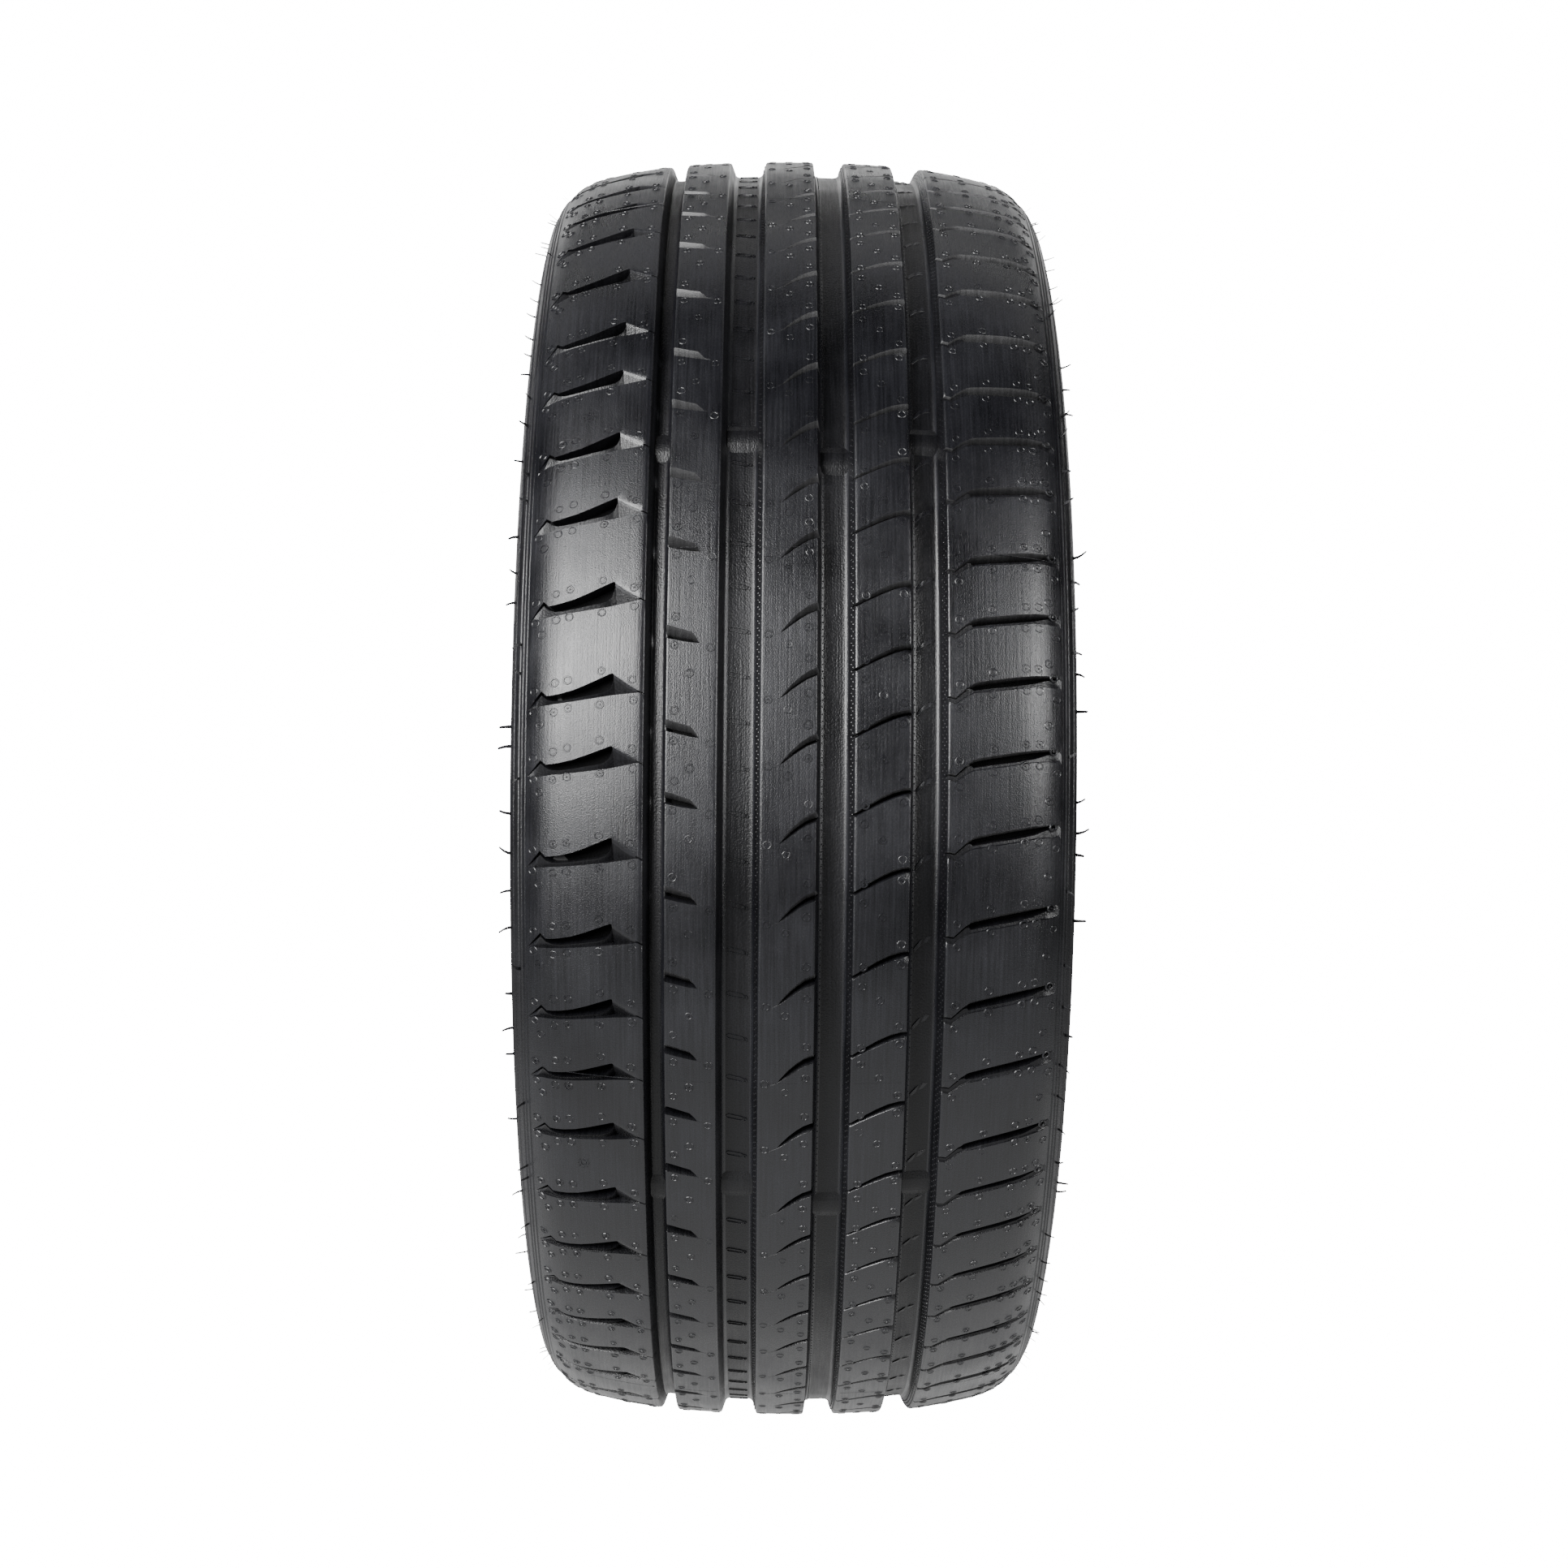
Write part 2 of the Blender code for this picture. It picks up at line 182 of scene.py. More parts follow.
# --- The two halves of the pattern.  Each is one tile, repeated once for each pitch ---
# A skew is a tile's slanted middle line, as (y, arc).  A slot is drawn as cross sections, each with its
# top edge, points between and bottom edge: (y, arc, (arc, depth), ..., arc).
OUTER_SKEW = (
    (-111, -13.8), (-108.6, -13), (-103.3, -8.5), (-100, -9), (-90, -7.5), (-80, -5.5), (-74.5, -4.5),
    (-68, -6), (-61.2, -8.2), (-52.4, -20.7), (-46, -22.7), (-39, -25.7), (-31, -28), (-22.5, -28),
)
SHOULDER_SLOT = (
    (-108.6, -12.8, (-12.9, 0.2), (-13, 0.2), (-13.1, 0.15), (-13.25, 0.15), -13.4),
    (-106, -9.3, (-9.6, 1.6), (-9.9, 1.6), (-10.3, 0.2), (-12.7, 0.8), -12.95),
    (-103.3, -6, (-6.4, 3), (-7, 3), (-7.5, 0.3), (-12.2, 1.5), -12.45),
    (-101, -8, (-8.4, 5), (-9, 5), (-9.5, 0.3), (-11.9, 1.3), -12.2),
    (-98.5, -7.8, (-8.2, 6.5), (-9.9, 6.5), (-10.3, 0.5), (-11.6, 1.1), -11.9),
    (-95, -7.2, (-7.6, 6.5), (-9.8, 6.5), (-10.2, 0.5), (-11.3, 1), -11.6),
    (-90, -6, (-6.4, 6.5), (-9.1, 6.5), (-9.5, 0.5), (-10.7, 1.05), -11),
    (-85, -4.2, (-4.6, 6.5), (-8.2, 6.5), (-8.6, 0.5), (-10.05, 1.2), -10.35),
    (-80, -2.2, (-2.6, 6.5), (-7.3, 6.5), (-7.8, 0.6), (-9.35, 1.35), -9.7),
    (-77, -1, (-1.4, 6.3), (-6.3, 6.3), (-6.9, 0.8), (-8.95, 1.8), -9.3),
    (-75, -0.2, (-0.6, 5.8), (-4.6, 5.8), (-5.3, 1), (-8.65, 2.7), -9),
    (-74.1, 0.05, (-0.5, 5), (-2.6, 5), (-3.2, 0.7), (-8.55, 3.4), -8.85),
    (-73.6, -0.1, (-0.6, 0.23), (-1.1, 0.47), (-1.6, 0.7), (-8.45, 3.9), -8.75),
    (-68, -3.8, (-4.3, 0.23), (-4.8, 0.47), (-5.3, 0.7), (-7.75, 1.85), -8),
    (-64, -6.2, (-6.4, 0.1), (-6.6, 0.19), (-6.8, 0.28), (-7.2, 0.46), -7.4),
    (-63, -6.7, (-6.85, 1), (-6.95, 1.4), (-7.05, 1.4), (-7.2, 1), -7.35),
    (-61.2, -7.7, (-7.85, 1), (-7.95, 1.4), (-8.05, 1.4), (-8.2, 1), -8.35),
)
RIB_NOTCH = (
    (-52.55, 0, (-2.7, 3.2), (-2.95, 5), (-4.25, 5), (-4.5, 0.5), -4.75),
    (-51.9, -0.1, (-2.8, 3.2), (-3.05, 5), (-4.35, 5), (-4.6, 0.4), -4.85),
    (-50, -0.6, (-3.2, 3.2), (-3.45, 6.5), (-4.75, 6.5), (-5, 0.4), -5.3),
    (-46, -1.9, (-4.2, 3), (-4.45, 6), (-5.6, 6), (-5.9, 0.4), -6.2),
    (-42, -3.1, (-5, 2.5), (-5.25, 5), (-6.4, 5), (-6.7, 0.4), -7),
    (-40.2, -5.2, (-5.9, 1.5), (-6.1, 3), (-6.7, 3), (-7, 0.3), -7.2),
    (-38.9, -7, (-7.1, 0.1), (-7.17, 0.1), (-7.24, 0.1), (-7.32, 0.1), -7.4),
)
INNER_SKEW = (
    (-21.5, -16.5), (-13.6, -16.5), (-5.8, -12.1), (0, -7), (8.4, -1.5), (24, -0.4), (30, 2.8), (35, 5.5),
    (40, 7.8), (46.4, 8.7), (50, 9.2), (55, 13.5), (58, 14), (62.4, 15), (65, 14.6), (70, 18.5), (74, 20.4),
    (90, 23), (103, 24.8), (111, 25.4),
)
RIB_FIN = (
    (-5.8, -12, (-12.08, 0.1), (-12.15, 0.1), (-12.22, 0.1), (-12.3, 0.1), -12.4),
    (-4, -9.6, (-10.3, 1.2), (-10.45, 2.4), (-10.8, 2.4), (-11, 0.2), -11.2),
    (-1, -6.2, (-7.5, 2.2), (-7.65, 4), (-8.3, 4), (-8.6, 0.3), -8.8),
    (2, -3.5, (-5.2, 2.8), (-5.35, 5), (-6.15, 5), (-6.45, 0.3), -6.7),
    (5, -1.3, (-3.2, 3.2), (-3.35, 6), (-4.25, 6), (-4.5, 0.35), -4.75),
    (8.4, 0.3, (-1.9, 3.5), (-2.05, 5), (-2.95, 5), (-3.15, 0.4), -3.35),
    (9, 0.4, (-1.7, 3.5), (-1.85, 5), (-2.75, 5), (-2.95, 0.4), -3.15),
)
RIB_CUT = (
    (23.85, 0.3, (0.1, 0.5), (-0.1, 3.5), (-0.5, 3.5), (-0.9, 0.6), -1.4),
    (24.75, 0.5, (0.25, 0.4), (0.05, 4), (-0.4, 4), (-0.8, 0.5), -1.2),
    (27, 2, (1.5, 1), (1.4, 5), (0.75, 5), (0.45, 0.4), 0.15),
    (30, 3.8, (3.2, 1.2), (3.1, 6), (2.3, 6), (2, 0.4), 1.7),
    (35, 6.8, (6, 1.4), (5.9, 6.5), (4.8, 6.5), (4.5, 0.4), 4.2),
    (40, 9.2, (8.3, 1.5), (8.2, 6.5), (7, 6.5), (6.7, 0.4), 6.4),
    (44.5, 10.4, (9.4, 1.6), (9.3, 6.5), (8.35, 6.5), (8.05, 0.4), 7.7),
    (46.4, 10.6, (9.6, 1.6), (9.5, 5), (8.55, 5), (8.1, 1.2), 5.9),
    (47, 10.6, (9.6, 1.6), (9.5, 5), (8.55, 5), (8.1, 1.2), 5.5),
)
FLOOR_STEP = (
    (50, 10.3, (10, 6.8), (8.5, 6.8), 8.2),
    (52.3, 13, (12.7, 6.8), (10.9, 6.8), 10.6),
    (55, 14.8, (14.5, 6.8), (12.5, 6.8), 12.2),
    (57.4, 15, (14.7, 6.8), (12.8, 6.8), 12.5),
)
INNER_SLOT = (
    (61.75, 16.5, (16.13, 0.58), (15.98, 2.5), (15.9, 2.5), (15.7, 0.7), (14.3, 0.7), 14),
    (62.6, 16.5, (16.13, 0.58), (15.98, 2.5), (15.9, 2.5), (15.7, 0.7), (14.3, 0.7), 14),
    (65, 16, (15.63, 0.58), (15.48, 2.5), (15.3, 2.5), (15.1, 0.7), (13.4, 0.7), 13.1),
    (67.5, 18.3, (17.86, 0.69), (17.71, 3), (17.5, 3), (17.3, 0.7), (15.3, 0.7), 15),
    (70, 20.5, (19.99, 0.81), (19.84, 3.5), (19.6, 3.5), (19.4, 0.7), (17.1, 0.7), 16.8),
    (71.4, 21.3, (20.72, 0.92), (20.57, 4), (20, 4), (19.7, 0.7), (17.7, 0.7), 17.4),
    (72.2, 22, (21.05, 1.5), (20.9, 6.5), (19.6, 6.5), (18.9, 0.8), (18.1, 0.6), 17.8),
    (74, 22.6, (21.65, 1.5), (21.5, 6.5), (19.7, 6.5), (19.3, 0.8), (18.5, 0.6), 18.2),
    (80, 23.8, (22.85, 1.5), (22.7, 6.5), (20.7, 6.5), (20.3, 0.8), (19.3, 0.6), 19),
    (90, 25.5, (24.55, 1.5), (24.4, 6.5), (22.1, 6.5), (21.7, 0.8), (20.8, 0.6), 20.5),
    (98, 26.6, (25.72, 1.38), (25.57, 6), (23.6, 6), (23.2, 0.8), (22.1, 0.6), 21.8),
    (103, 27, (26.34, 1.04), (26.19, 4.5), (25.3, 4.5), (24.8, 0.8), (22.5, 0.6), 22.2),
    (106.5, 27.1, (26.73, 0.58), (26.58, 2.5), (26.3, 2.2), (25.6, 0.7), (22.4, 0.6), 22.1),
    (108.4, 27.1, (27.01, 0.14), (26.86, 0.6), (26.7, 0.5), (26.2, 0.4), (23.4, 0.3), 23),
)

# Lines around the tread: (y, depth).  Between them the surface is straight across.
OUTER_LINES = (
    (-111, 0), (-110.2, 0), (-109.95, 0.35), (-109.45, 0.35), (-109.2, 0), (-63, 0), (-61.5, 0.25),
    (-61.2, 0.45), (-60.9, 1), (-59.5, 6.5), (-58.9, 7.1), (-57.5, 7.35), (-55.4, 7.3), (-54.3, 7.05),
    (-53.5, 6.3), (-53.1, 5.2), (-52.55, 0.6), (-52.25, 0.15), (-51.9, 0), (-51.4, 0), (-32.9, 0),
    (-32.3, 0.05), (-31.6, 0.22), (-31.2, 0.7), (-29.5, 6.1), (-28.8, 6.8), (-27.7, 7.15), (-27, 7.3),
    (-22.5, 7.3),
)
# Rows of points on the open surface between those lines: y
OUTER_ROWS = (-106.5, -103, -99.5, -96, -92, -88, -84, -80, -76, -72, -68.5, -65.5, -48, -44, -40, -36)
INNER_LINES = (
    (-21.5, 7.3), (-18.6, 7.3), (-17.5, 7.1), (-16.7, 6.65), (-16.1, 5.9), (-15.7, 4.9), (-14.3, 0.75),
    (-13.95, 0.22), (-13.4, 0), (-12.8, 0), (7.8, 0), (8.4, 0), (8.75, 0.15), (9, 0.6), (9.9, 5.8),
    (10.5, 6.7), (11.7, 7.2), (15.5, 7.3), (19.2, 7.3), (20.5, 7.1), (21.4, 6.65), (22.1, 5.9), (22.5, 4.9),
    (23.85, 0.75), (24.2, 0.22), (24.75, 0), (25.4, 0), (45.8, 0), (46.4, 0), (46.75, 0.15), (47, 0.6),
    (47.8, 5.8), (48.3, 6.7), (49.4, 7.15), (53.5, 7.25), (57.4, 7.25), (58.4, 7.05), (59.2, 6.6),
    (59.8, 5.9), (60.2, 4.9), (61.75, 0.75), (62.1, 0.22), (62.6, 0), (63.2, 0), (109.2, 0), (109.45, 0.35),
    (109.95, 0.35), (110.2, 0), (111, 0),
)
INNER_ROWS = (
    -10, -6.5, -3, 0.5, 4, 28, 32, 36, 40, 43.5, 66, 70, 74, 78, 82, 86, 90, 94, 97.5, 101, 104.5, 107,
)
TILE_STEPS = 8  # points along each line in one tile
POINT_MARGIN = 0.9  # how far the other points stay away from a slot
NEAR = 1e-3  # points nearer to a tile's top or bottom than this lie on it


def drawn(rows, edge=0, shift=0):
    """A slot as (y, [(arc, depth), ...]), with its edges at one depth, and shifted along the tread."""
    slot = []
    for y, top, *between, bottom in rows:
        section = ((top, edge), *between, (bottom, edge))
        slot.append((y, [(arc + shift, depth) for arc, depth in section]))
    return slot


def crossed(slot, lines):
    """The slot with a section wherever a line around the tread crosses it."""
    sections = list(slot)
    known = {y for y, _ in slot}
    for y, _ in lines:
        if y in known or not slot[0][0] < y < slot[-1][0]:
            continue
        after = next(k for k, section in enumerate(sections) if section[0] > y)
        (y0, low), (y1, high) = sections[after - 1], sections[after]
        part = (y - y0) / (y1 - y0)
        between = [(a0 + (a1 - a0) * part, d0 + (d1 - d0) * part) for (a0, d0), (a1, d1) in zip(low, high)]
        sections.insert(after, (y, between))
    return sections


class Tile:
    """One pitch of the tread as a triangulated height field in (y, arc)."""

    def __init__(self, lines, rows, slots, skew, pitch):
        self.skew = skew
        self.pitch = pitch
        self.heights = [pitch * (step / TILE_STEPS - 0.5) for step in range(TILE_STEPS + 1)]
        self.points = []
        self.depths = []
        self.edges = []
        self.slots = [crossed(slot, lines) for slot in slots]
        on_lines = {}
        for slot in self.slots:
            self.add_slot(slot, dict(lines), on_lines)
        self.add_lines(lines, on_lines)
        self.add_rows(rows)
        self.triangulate()

    def add_point(self, y, arc, depth):
        """Adds a point, whose arc is kept as its height above the tile's skewed middle line."""
        self.points.append((y, arc - follow(self.skew, y)))
        self.depths.append(depth)
        return len(self.points) - 1

    def add_slot(self, slot, line_depths, on_lines):
        """Adds a slot's sections. Sections that lie on a groove's edge become part of that line."""
        before = None
        for y, section in slot:
            floor = line_depths.get(y, 0.0)
            here = [self.add_point(y, arc, max(depth, floor)) for arc, depth in section]
            self.edges += list(zip(here, here[1:]))
            if before:
                self.edges += list(zip(before, here))
            if y in line_depths:
                on_lines.setdefault(y, []).append(here)
            before = here

    def add_lines(self, lines, on_lines):
        """Adds the lines around the tread, with the slots' sections that they pass through."""
        for y, depth in lines:
            crossings = on_lines.get(y, [])
            spans = [[self.points[k][1] for k in crossing] for crossing in crossings]
            line = [k for crossing in crossings for k in crossing]
            for height in self.heights:
                if any(min(span) - POINT_MARGIN < height < max(span) + POINT_MARGIN for span in spans):
                    continue
                line.append(self.add_point(y, height + follow(self.skew, y), depth))
            line.sort(key=lambda k: self.points[k][1])
            self.edges += list(zip(line, line[1:]))

    def add_rows(self, rows):
        """Adds points on the open surface between the lines, clear of the slots."""
        for y in rows:
            for height in self.heights:
                arc = height + follow(self.skew, y)
                if not self.in_slot(y, arc):
                    self.add_point(y, arc, 0.0)

    def in_slot(self, y, arc):
        """Whether a place is in a slot or close to one."""
        for slot in self.slots:
            top, bottom = (follow([(place, section[k][0]) for place, section in slot], y) for k in (0, -1))
            across = slot[0][0] - POINT_MARGIN < y < slot[-1][0] + POINT_MARGIN
            if across and bottom - POINT_MARGIN < arc < top + POINT_MARGIN:
                return True
        return False

    def triangulate(self):
        """Joins the points into faces. A point that this adds takes the nearest one's depth."""
        points = [Vector(point) for point in self.points]
        found = delaunay_2d_cdt(points, self.edges, [], 0, 1e-5, True)
        depths = []
        for point, sources in zip(found[0], found[3]):
            if sources:
                depths.append(self.depths[sources[0]])
            else:
                nearest = min(range(len(points)), key=lambda k: (points[k] - point).length)
                depths.append(self.depths[nearest])
        self.points = [tuple(point) for point in found[0]]
        self.depths = depths
        self.faces = [tuple(face) for face in found[2]]


def tile_ring(tile, ring, vertices, faces):
    """Adds a tile, repeated around the tread, to a mesh. Returns the rings of its two edges."""
    half = tile.pitch / 2
    tops = {k: point for k, point in enumerate(tile.points) if abs(point[1] - half) < NEAR}
    bottoms = {round(point[0], 3): k for k, point in enumerate(tile.points) if abs(point[1] + half) < NEAR}
    kept = [k for k in range(len(tile.points)) if k not in tops]
    place = {k: order for order, k in enumerate(kept)}
    count = len(kept)
    start = len(vertices)
    edges = {min(tile.points)[0]: [], max(tile.points)[0]: []}
    for pitch in range(ring.count):
        for k in kept:
            y, height = tile.points[k]
            angle = ring.angle(pitch + height / tile.pitch) + follow(tile.skew, y) / RADIUS
            if y in edges:
                edges[y].append((angle, len(vertices)))
            vertices.append(on_tread(y, angle, tile.depths[k]))
        for face in tile.faces:
            corners = []
            for k in face:
                if k in tops:
                    next_pitch = (pitch + 1) % ring.count
                    corners.append(start + next_pitch * count + place[bottoms[round(tops[k][0], 3)]])
                else:
                    corners.append(start + pitch * count + place[k])
            faces.append(tuple(corners))
    return [sorted(edge) for edge in edges.values()]


def zipper(left, right):
    """Triangles between two rings of (angle, vertex), whose numbers of vertices may differ."""
    first = min(range(len(right)), key=lambda k: abs(right[k][0] - left[0][0]))
    right = right[first:] + [(a + TWO_PI, v) for a, v in right[:first]]
    left = left + [(left[0][0] + TWO_PI, left[0][1])]
    right = right + [(right[0][0] + TWO_PI, right[0][1])]
    faces = []
    i = j = 0
    while i < len(left) - 1 or j < len(right) - 1:
        if j == len(right) - 1 or (i < len(left) - 1 and left[i + 1][0] <= right[j + 1][0]):
            faces.append((left[i][1], right[j][1], left[i + 1][1]))
            i += 1
        else:
            faces.append((left[i][1], right[j][1], right[j + 1][1]))
            j += 1
    return faces


def bridge(left, right):
    """Triangles between two rings with the same vertices around them."""
    faces = []
    for k in range(len(left)):
        n = (k + 1) % len(left)
        faces.append((left[k][1], right[k][1], right[n][1]))
        faces.append((left[k][1], right[n][1], left[n][1]))
    return faces


def ring_copy(vertices, ring, y, radius):
    """A copy of a ring of the tread at another y and radius."""
    copy = [(angle, len(vertices) + k) for k, (angle, _) in enumerate(ring)]
    vertices += [around(y, radius, angle) for angle, _ in ring]
    return copy


# How the faces of the tread are told apart, to give them materials that paint light and shade into the
# colour
PAINTED_LIGHT, PAINTED_SHADE, DEEP_SHADE = 1, 2, 3  # places in the tread's list of materials: painted light, painted shade and deeper painted shade
CUT_LEAN = 0.35  # a face that leans along the tread by more than this is a slot's wall
STEEP_LEAN = 0.8  # and by more than this, it is an upper wall on the outboard shoulder
SHOULDER_END = -60.0  # y where the outboard shoulder ends
GROOVE_SIDES = (0.7, 5.9)  # depths of the grooves' walls
GROOVE_FLOOR = 7.12  # depth of their floors, below the rounded corners
GROOVE_SPANS = ((-61.2, -52.2), (-31.4, -13.9), (8.7, 24.3), (46.7, 62.2))
SLOT_FLOOR = 4.2  # deeper than this outside the grooves is a slot's floor
UNSHADED_RIM_SPAN = (23.5, 47.5)  # y of the rib whose cuts keep the tread's own material on their lower rims, without painted shade
UNSHADED_RIM_DEPTH = 0.3


def paint_light_and_shade(mesh, *light_and_shade_materials):
    """Gives the walls and floors of the slots, and the grooves, materials of their own that paint light and
    shade: the slots' walls that face down the tread are painted lighter past the outboard shoulder, and the
    walls that face up it, the steepest walls on that shoulder, the grooves and the slots' deep floors are
    painted darker.
    """
    for material in light_and_shade_materials:
        mesh.materials.append(material)
    for face in mesh.polygons:
        x, y, z = face.center / MM
        size = math.hypot(x, z)
        depth = crown(y)[0] - size
        along = (face.normal.z * x - face.normal.x * z) / size
        # The lower rims of one rib's cuts keep the tread's material, free of painted shade.
        if UNSHADED_RIM_SPAN[0] < y < UNSHADED_RIM_SPAN[1] and depth < UNSHADED_RIM_DEPTH and along > 0:
            continue
        # Painted shade: the slots' walls that face up the tread, and the steep upper walls on the outboard
        # shoulder, get the darker colour.
        if along > CUT_LEAN or (along < -STEEP_LEAN and y < SHOULDER_END):
            face.material_index = PAINTED_SHADE
        # Painted light: the slots' walls that face down the tread, past the outboard shoulder, get the
        # lighter colour.
        elif along < -CUT_LEAN and y > SHOULDER_END:
            face.material_index = PAINTED_LIGHT
        # Painted shade: the slots' deep floors outside the grooves get a near-black colour.
        elif SLOT_FLOOR < depth < GROOVE_FLOOR and not any(low < y < high for low, high in GROOVE_SPANS):
            face.material_index = DEEP_SHADE
        # Painted shade: the grooves' walls and floors get the darker colour; their rounded corners and top
        # edges keep the tread's.
        elif GROOVE_SIDES[0] < depth < GROOVE_SIDES[1] or depth > GROOVE_FLOOR:
            face.material_index = PAINTED_SHADE


UNDERSIDE = ((-102.4, 303.8), (-84.5, 305.8), (-42.0, 310.4), (-1.0, 312.4))  # (y, radius)


def make_tread(material, *light_and_shade_materials):
    """The tread as one closed mesh: two rings of tiles, joined on a groove's floor and underneath."""
    outer_slots = [drawn(SHOULDER_SLOT), drawn(RIB_NOTCH, shift=-18.6)]
    inner_slots = [drawn(RIB_FIN), drawn(RIB_CUT), drawn(FLOOR_STEP, edge=7.25), drawn(INNER_SLOT)]
    outer = Tile(OUTER_LINES, OUTER_ROWS, outer_slots, OUTER_SKEW, outer_pitches.mean)
    inner = Tile(INNER_LINES, INNER_ROWS, inner_slots, INNER_SKEW, inner_pitches.mean)
    vertices, faces = [], []
    outer_edge, outer_floor = tile_ring(outer, outer_pitches, vertices, faces)
    inner_floor, inner_edge = tile_ring(inner, inner_pitches, vertices, faces)
    faces += zipper(outer_floor, inner_floor)
    left, right = outer_edge, inner_edge
    for y, radius in UNDERSIDE:
        next_left = ring_copy(vertices, outer_edge, y, radius)
        next_right = ring_copy(vertices, inner_edge, -y, radius)
        faces += bridge(next_left, left)
        faces += bridge(right, next_right)
        left, right = next_left, next_right
    faces += zipper(right, left)
    piece = mesh_piece("tread", vertices, faces, material, sharp=42, replaces=["tread_cap"])
    face_outwards(piece.data)
    paint_light_and_shade(piece.data, *light_and_shade_materials)


# --- The outer skin beside the tread, down to the rim, as (y, radius) on the inboard side ---
WING_START = 111.03  # just past the tread's edge
WING_END = 113.7
WALL_START = 113.74
RIDGE_CREST = 0.4  # half the width of a ridge's crest, as a share of its foot's
FLANK = ((118.0, 276.5), (117.4, 267.0), (116.0, 258.0), (114.9, 253.5), (114.3, 250.5))
PROTECTOR = ((114.3, 250.5), (115.0, 248.6), (115.2, 246.2), (114.8, 243.4), (113.2, 241.2), (108.9, 237.5))
RING_FOOT, RING_CREST = 0.35, 0.15  # half widths of the raised rings on the sidewall


def skin(y, lift=0.0):
    """A point of the shoulder's section, lifted off the smooth surface."""
    radius, sine, cosine = crown(y)
    return y + lift * sine, radius + lift * cosine


def smooth(points, steps=4):
    """A smooth curve through the points (Catmull-Rom)."""
    padded = [points[0], *points, points[-1]]
    line = []
    for k in range(1, len(padded) - 2):
        before, start, end, after = (Vector(point) for point in padded[k - 1 : k + 3])
        for step in range(steps):
            t = step / steps
            curve = (
                2 * start
                + (end - before) * t
                + (2 * before - 5 * start + 4 * end - after) * t**2
                + (3 * start - before - 3 * end + after) * t**3
            )
            line.append(tuple(curve / 2))
    line.append(tuple(points[-1]))
    return line


def ridge(places, width, height):
    """Stations of the shoulder's section with a small ridge at each place."""
    stations = []
    for y in places:
        stations += [skin(y - width), skin(y - width * RIDGE_CREST, height)]
        stations += [skin(y + width * RIDGE_CREST, height), skin(y + width)]
    return stations


def with_rings(line, places, height):
    """The line with a narrow raised ring around the tyre at each radius. Radii go down along it."""
    result = []
    for (y0, r0), (y1, r1) in zip(line, line[1:]):
        result.append((y0, r0))
        for r in places:
            if r1 < r < r0:
                y = y0 + (y1 - y0) * (r - r0) / (r1 - r0)
                result += [(y, r + RING_FOOT), (y + height, r + RING_CREST)]
                result += [(y + height, r - RING_CREST), (y, r - RING_FOOT)]
    result.append(line[-1])
    return result


def wing_outline():
    """The tread's edge strip, with two ridges outside."""
    outside = [skin(WING_START), *ridge((111.6, 113.0), 0.35, 0.35), skin(WING_END)]
    return [*outside, (104.3, 300.5), (102.8, 303.3)]


def sidewall_outline():
    """The sidewall: a ridged shoulder, the flank with four rings, and the bulge that protects the rim."""
    shoulder = [skin(WALL_START), *ridge((115.4,), 0.3, 0.3), skin(116.4), skin(117.2), skin(117.7)]
    flank = with_rings([skin(117.95), *smooth(FLANK)], (280.5, 278.9, 274.6, 251.9), 0.3)
    inside = [(105.5, 238.0), (108.0, 246.0), (110.5, 262.0), (108.5, 284.0), (104.2, 298.5)]
    return [*shoulder, *flank, *smooth(PROTECTOR)[1:], *inside]


def cushion_outline():
    """The hard rubber around the bead, with three fine rings where it meets the rim's flange."""
    toe = smooth(((101.6, 222.6), (100.7, 219.7), (98.3, 218.3), (84.6, 217.1)), 3)
    flange = [(108.7, 237.3), (107.0, 235.9), (106.6, 236.0), (106.2, 235.6), (105.0, 234.3)]
    flange += [(104.6, 234.4), (104.2, 234.0), (102.4, 232.0), (101.6, 230.2), (101.6, 228.0)]
    flange += [(101.95, 227.7), (101.95, 227.2), (101.6, 226.9)]
    return [*flange, *toe, (82.6, 217.3), (82.0, 218.3), (85.6, 224.4), (97.5, 228.0), (105.2, 237.8)]


# The carcass line's bends, as in the frame: crown, shoulder and flank
CARCASS_RADIUS = RADIUS - 17.1
CARCASS_CROWN = (600.0, 84.5)  # the bend's radius, and the half width where it ends
CARCASS_BENDS = ((32.0, None), (34.0, 38.0))  # radius and degrees, or up to level with the axis
BEAD_RUN = 28.6
BEND_STATIONS = 6  # at least so many along each bend, about so many degrees apart
LINER_OUTSIDE, LINER_INSIDE = -1.0, -2.6  # the inner liner's two faces, from the carcass line


def carcass_line(offset):
    """The carcass line from the centre plane to the bead, moved outwards by an offset."""
    bend, end = CARCASS_CROWN
    turn = math.asin(end / bend)
    y, r, heading = 0.0, CARCASS_RADIUS, 0.0
    line = []
    for radius, degrees in ((bend, math.degrees(turn)), *CARCASS_BENDS):
        change = math.pi / 2 - heading if degrees is None else math.radians(degrees)
        steps = max(BEND_STATIONS, round(math.degrees(change) / BEND_STATIONS))
        centre = (y - radius * math.sin(heading), r - radius * math.cos(heading))
        for step in range(steps + 1):
            angle = heading + change * step / steps
            reach = radius + offset
            line.append((centre[0] + reach * math.sin(angle), centre[1] + reach * math.cos(angle)))
        heading += change
        y = centre[0] + radius * math.sin(heading)
        r = centre[1] + radius * math.cos(heading)
    y0, r0 = line[-1]
    line.append((y0 + BEAD_RUN * math.cos(heading), r0 - BEAD_RUN * math.sin(heading)))
    return line


def both_sides(line):
    """A line from the centre plane to the inboard bead, with its mirror image before it."""
    return [(-y, r) for y, r in reversed(line)] + line[1:]


def liner_outline():
    """The thin airtight layer under the carcass, from bead to bead."""
    return both_sides(carcass_line(LINER_OUTSIDE)) + both_sides(carcass_line(LINER_INSIDE))[::-1]


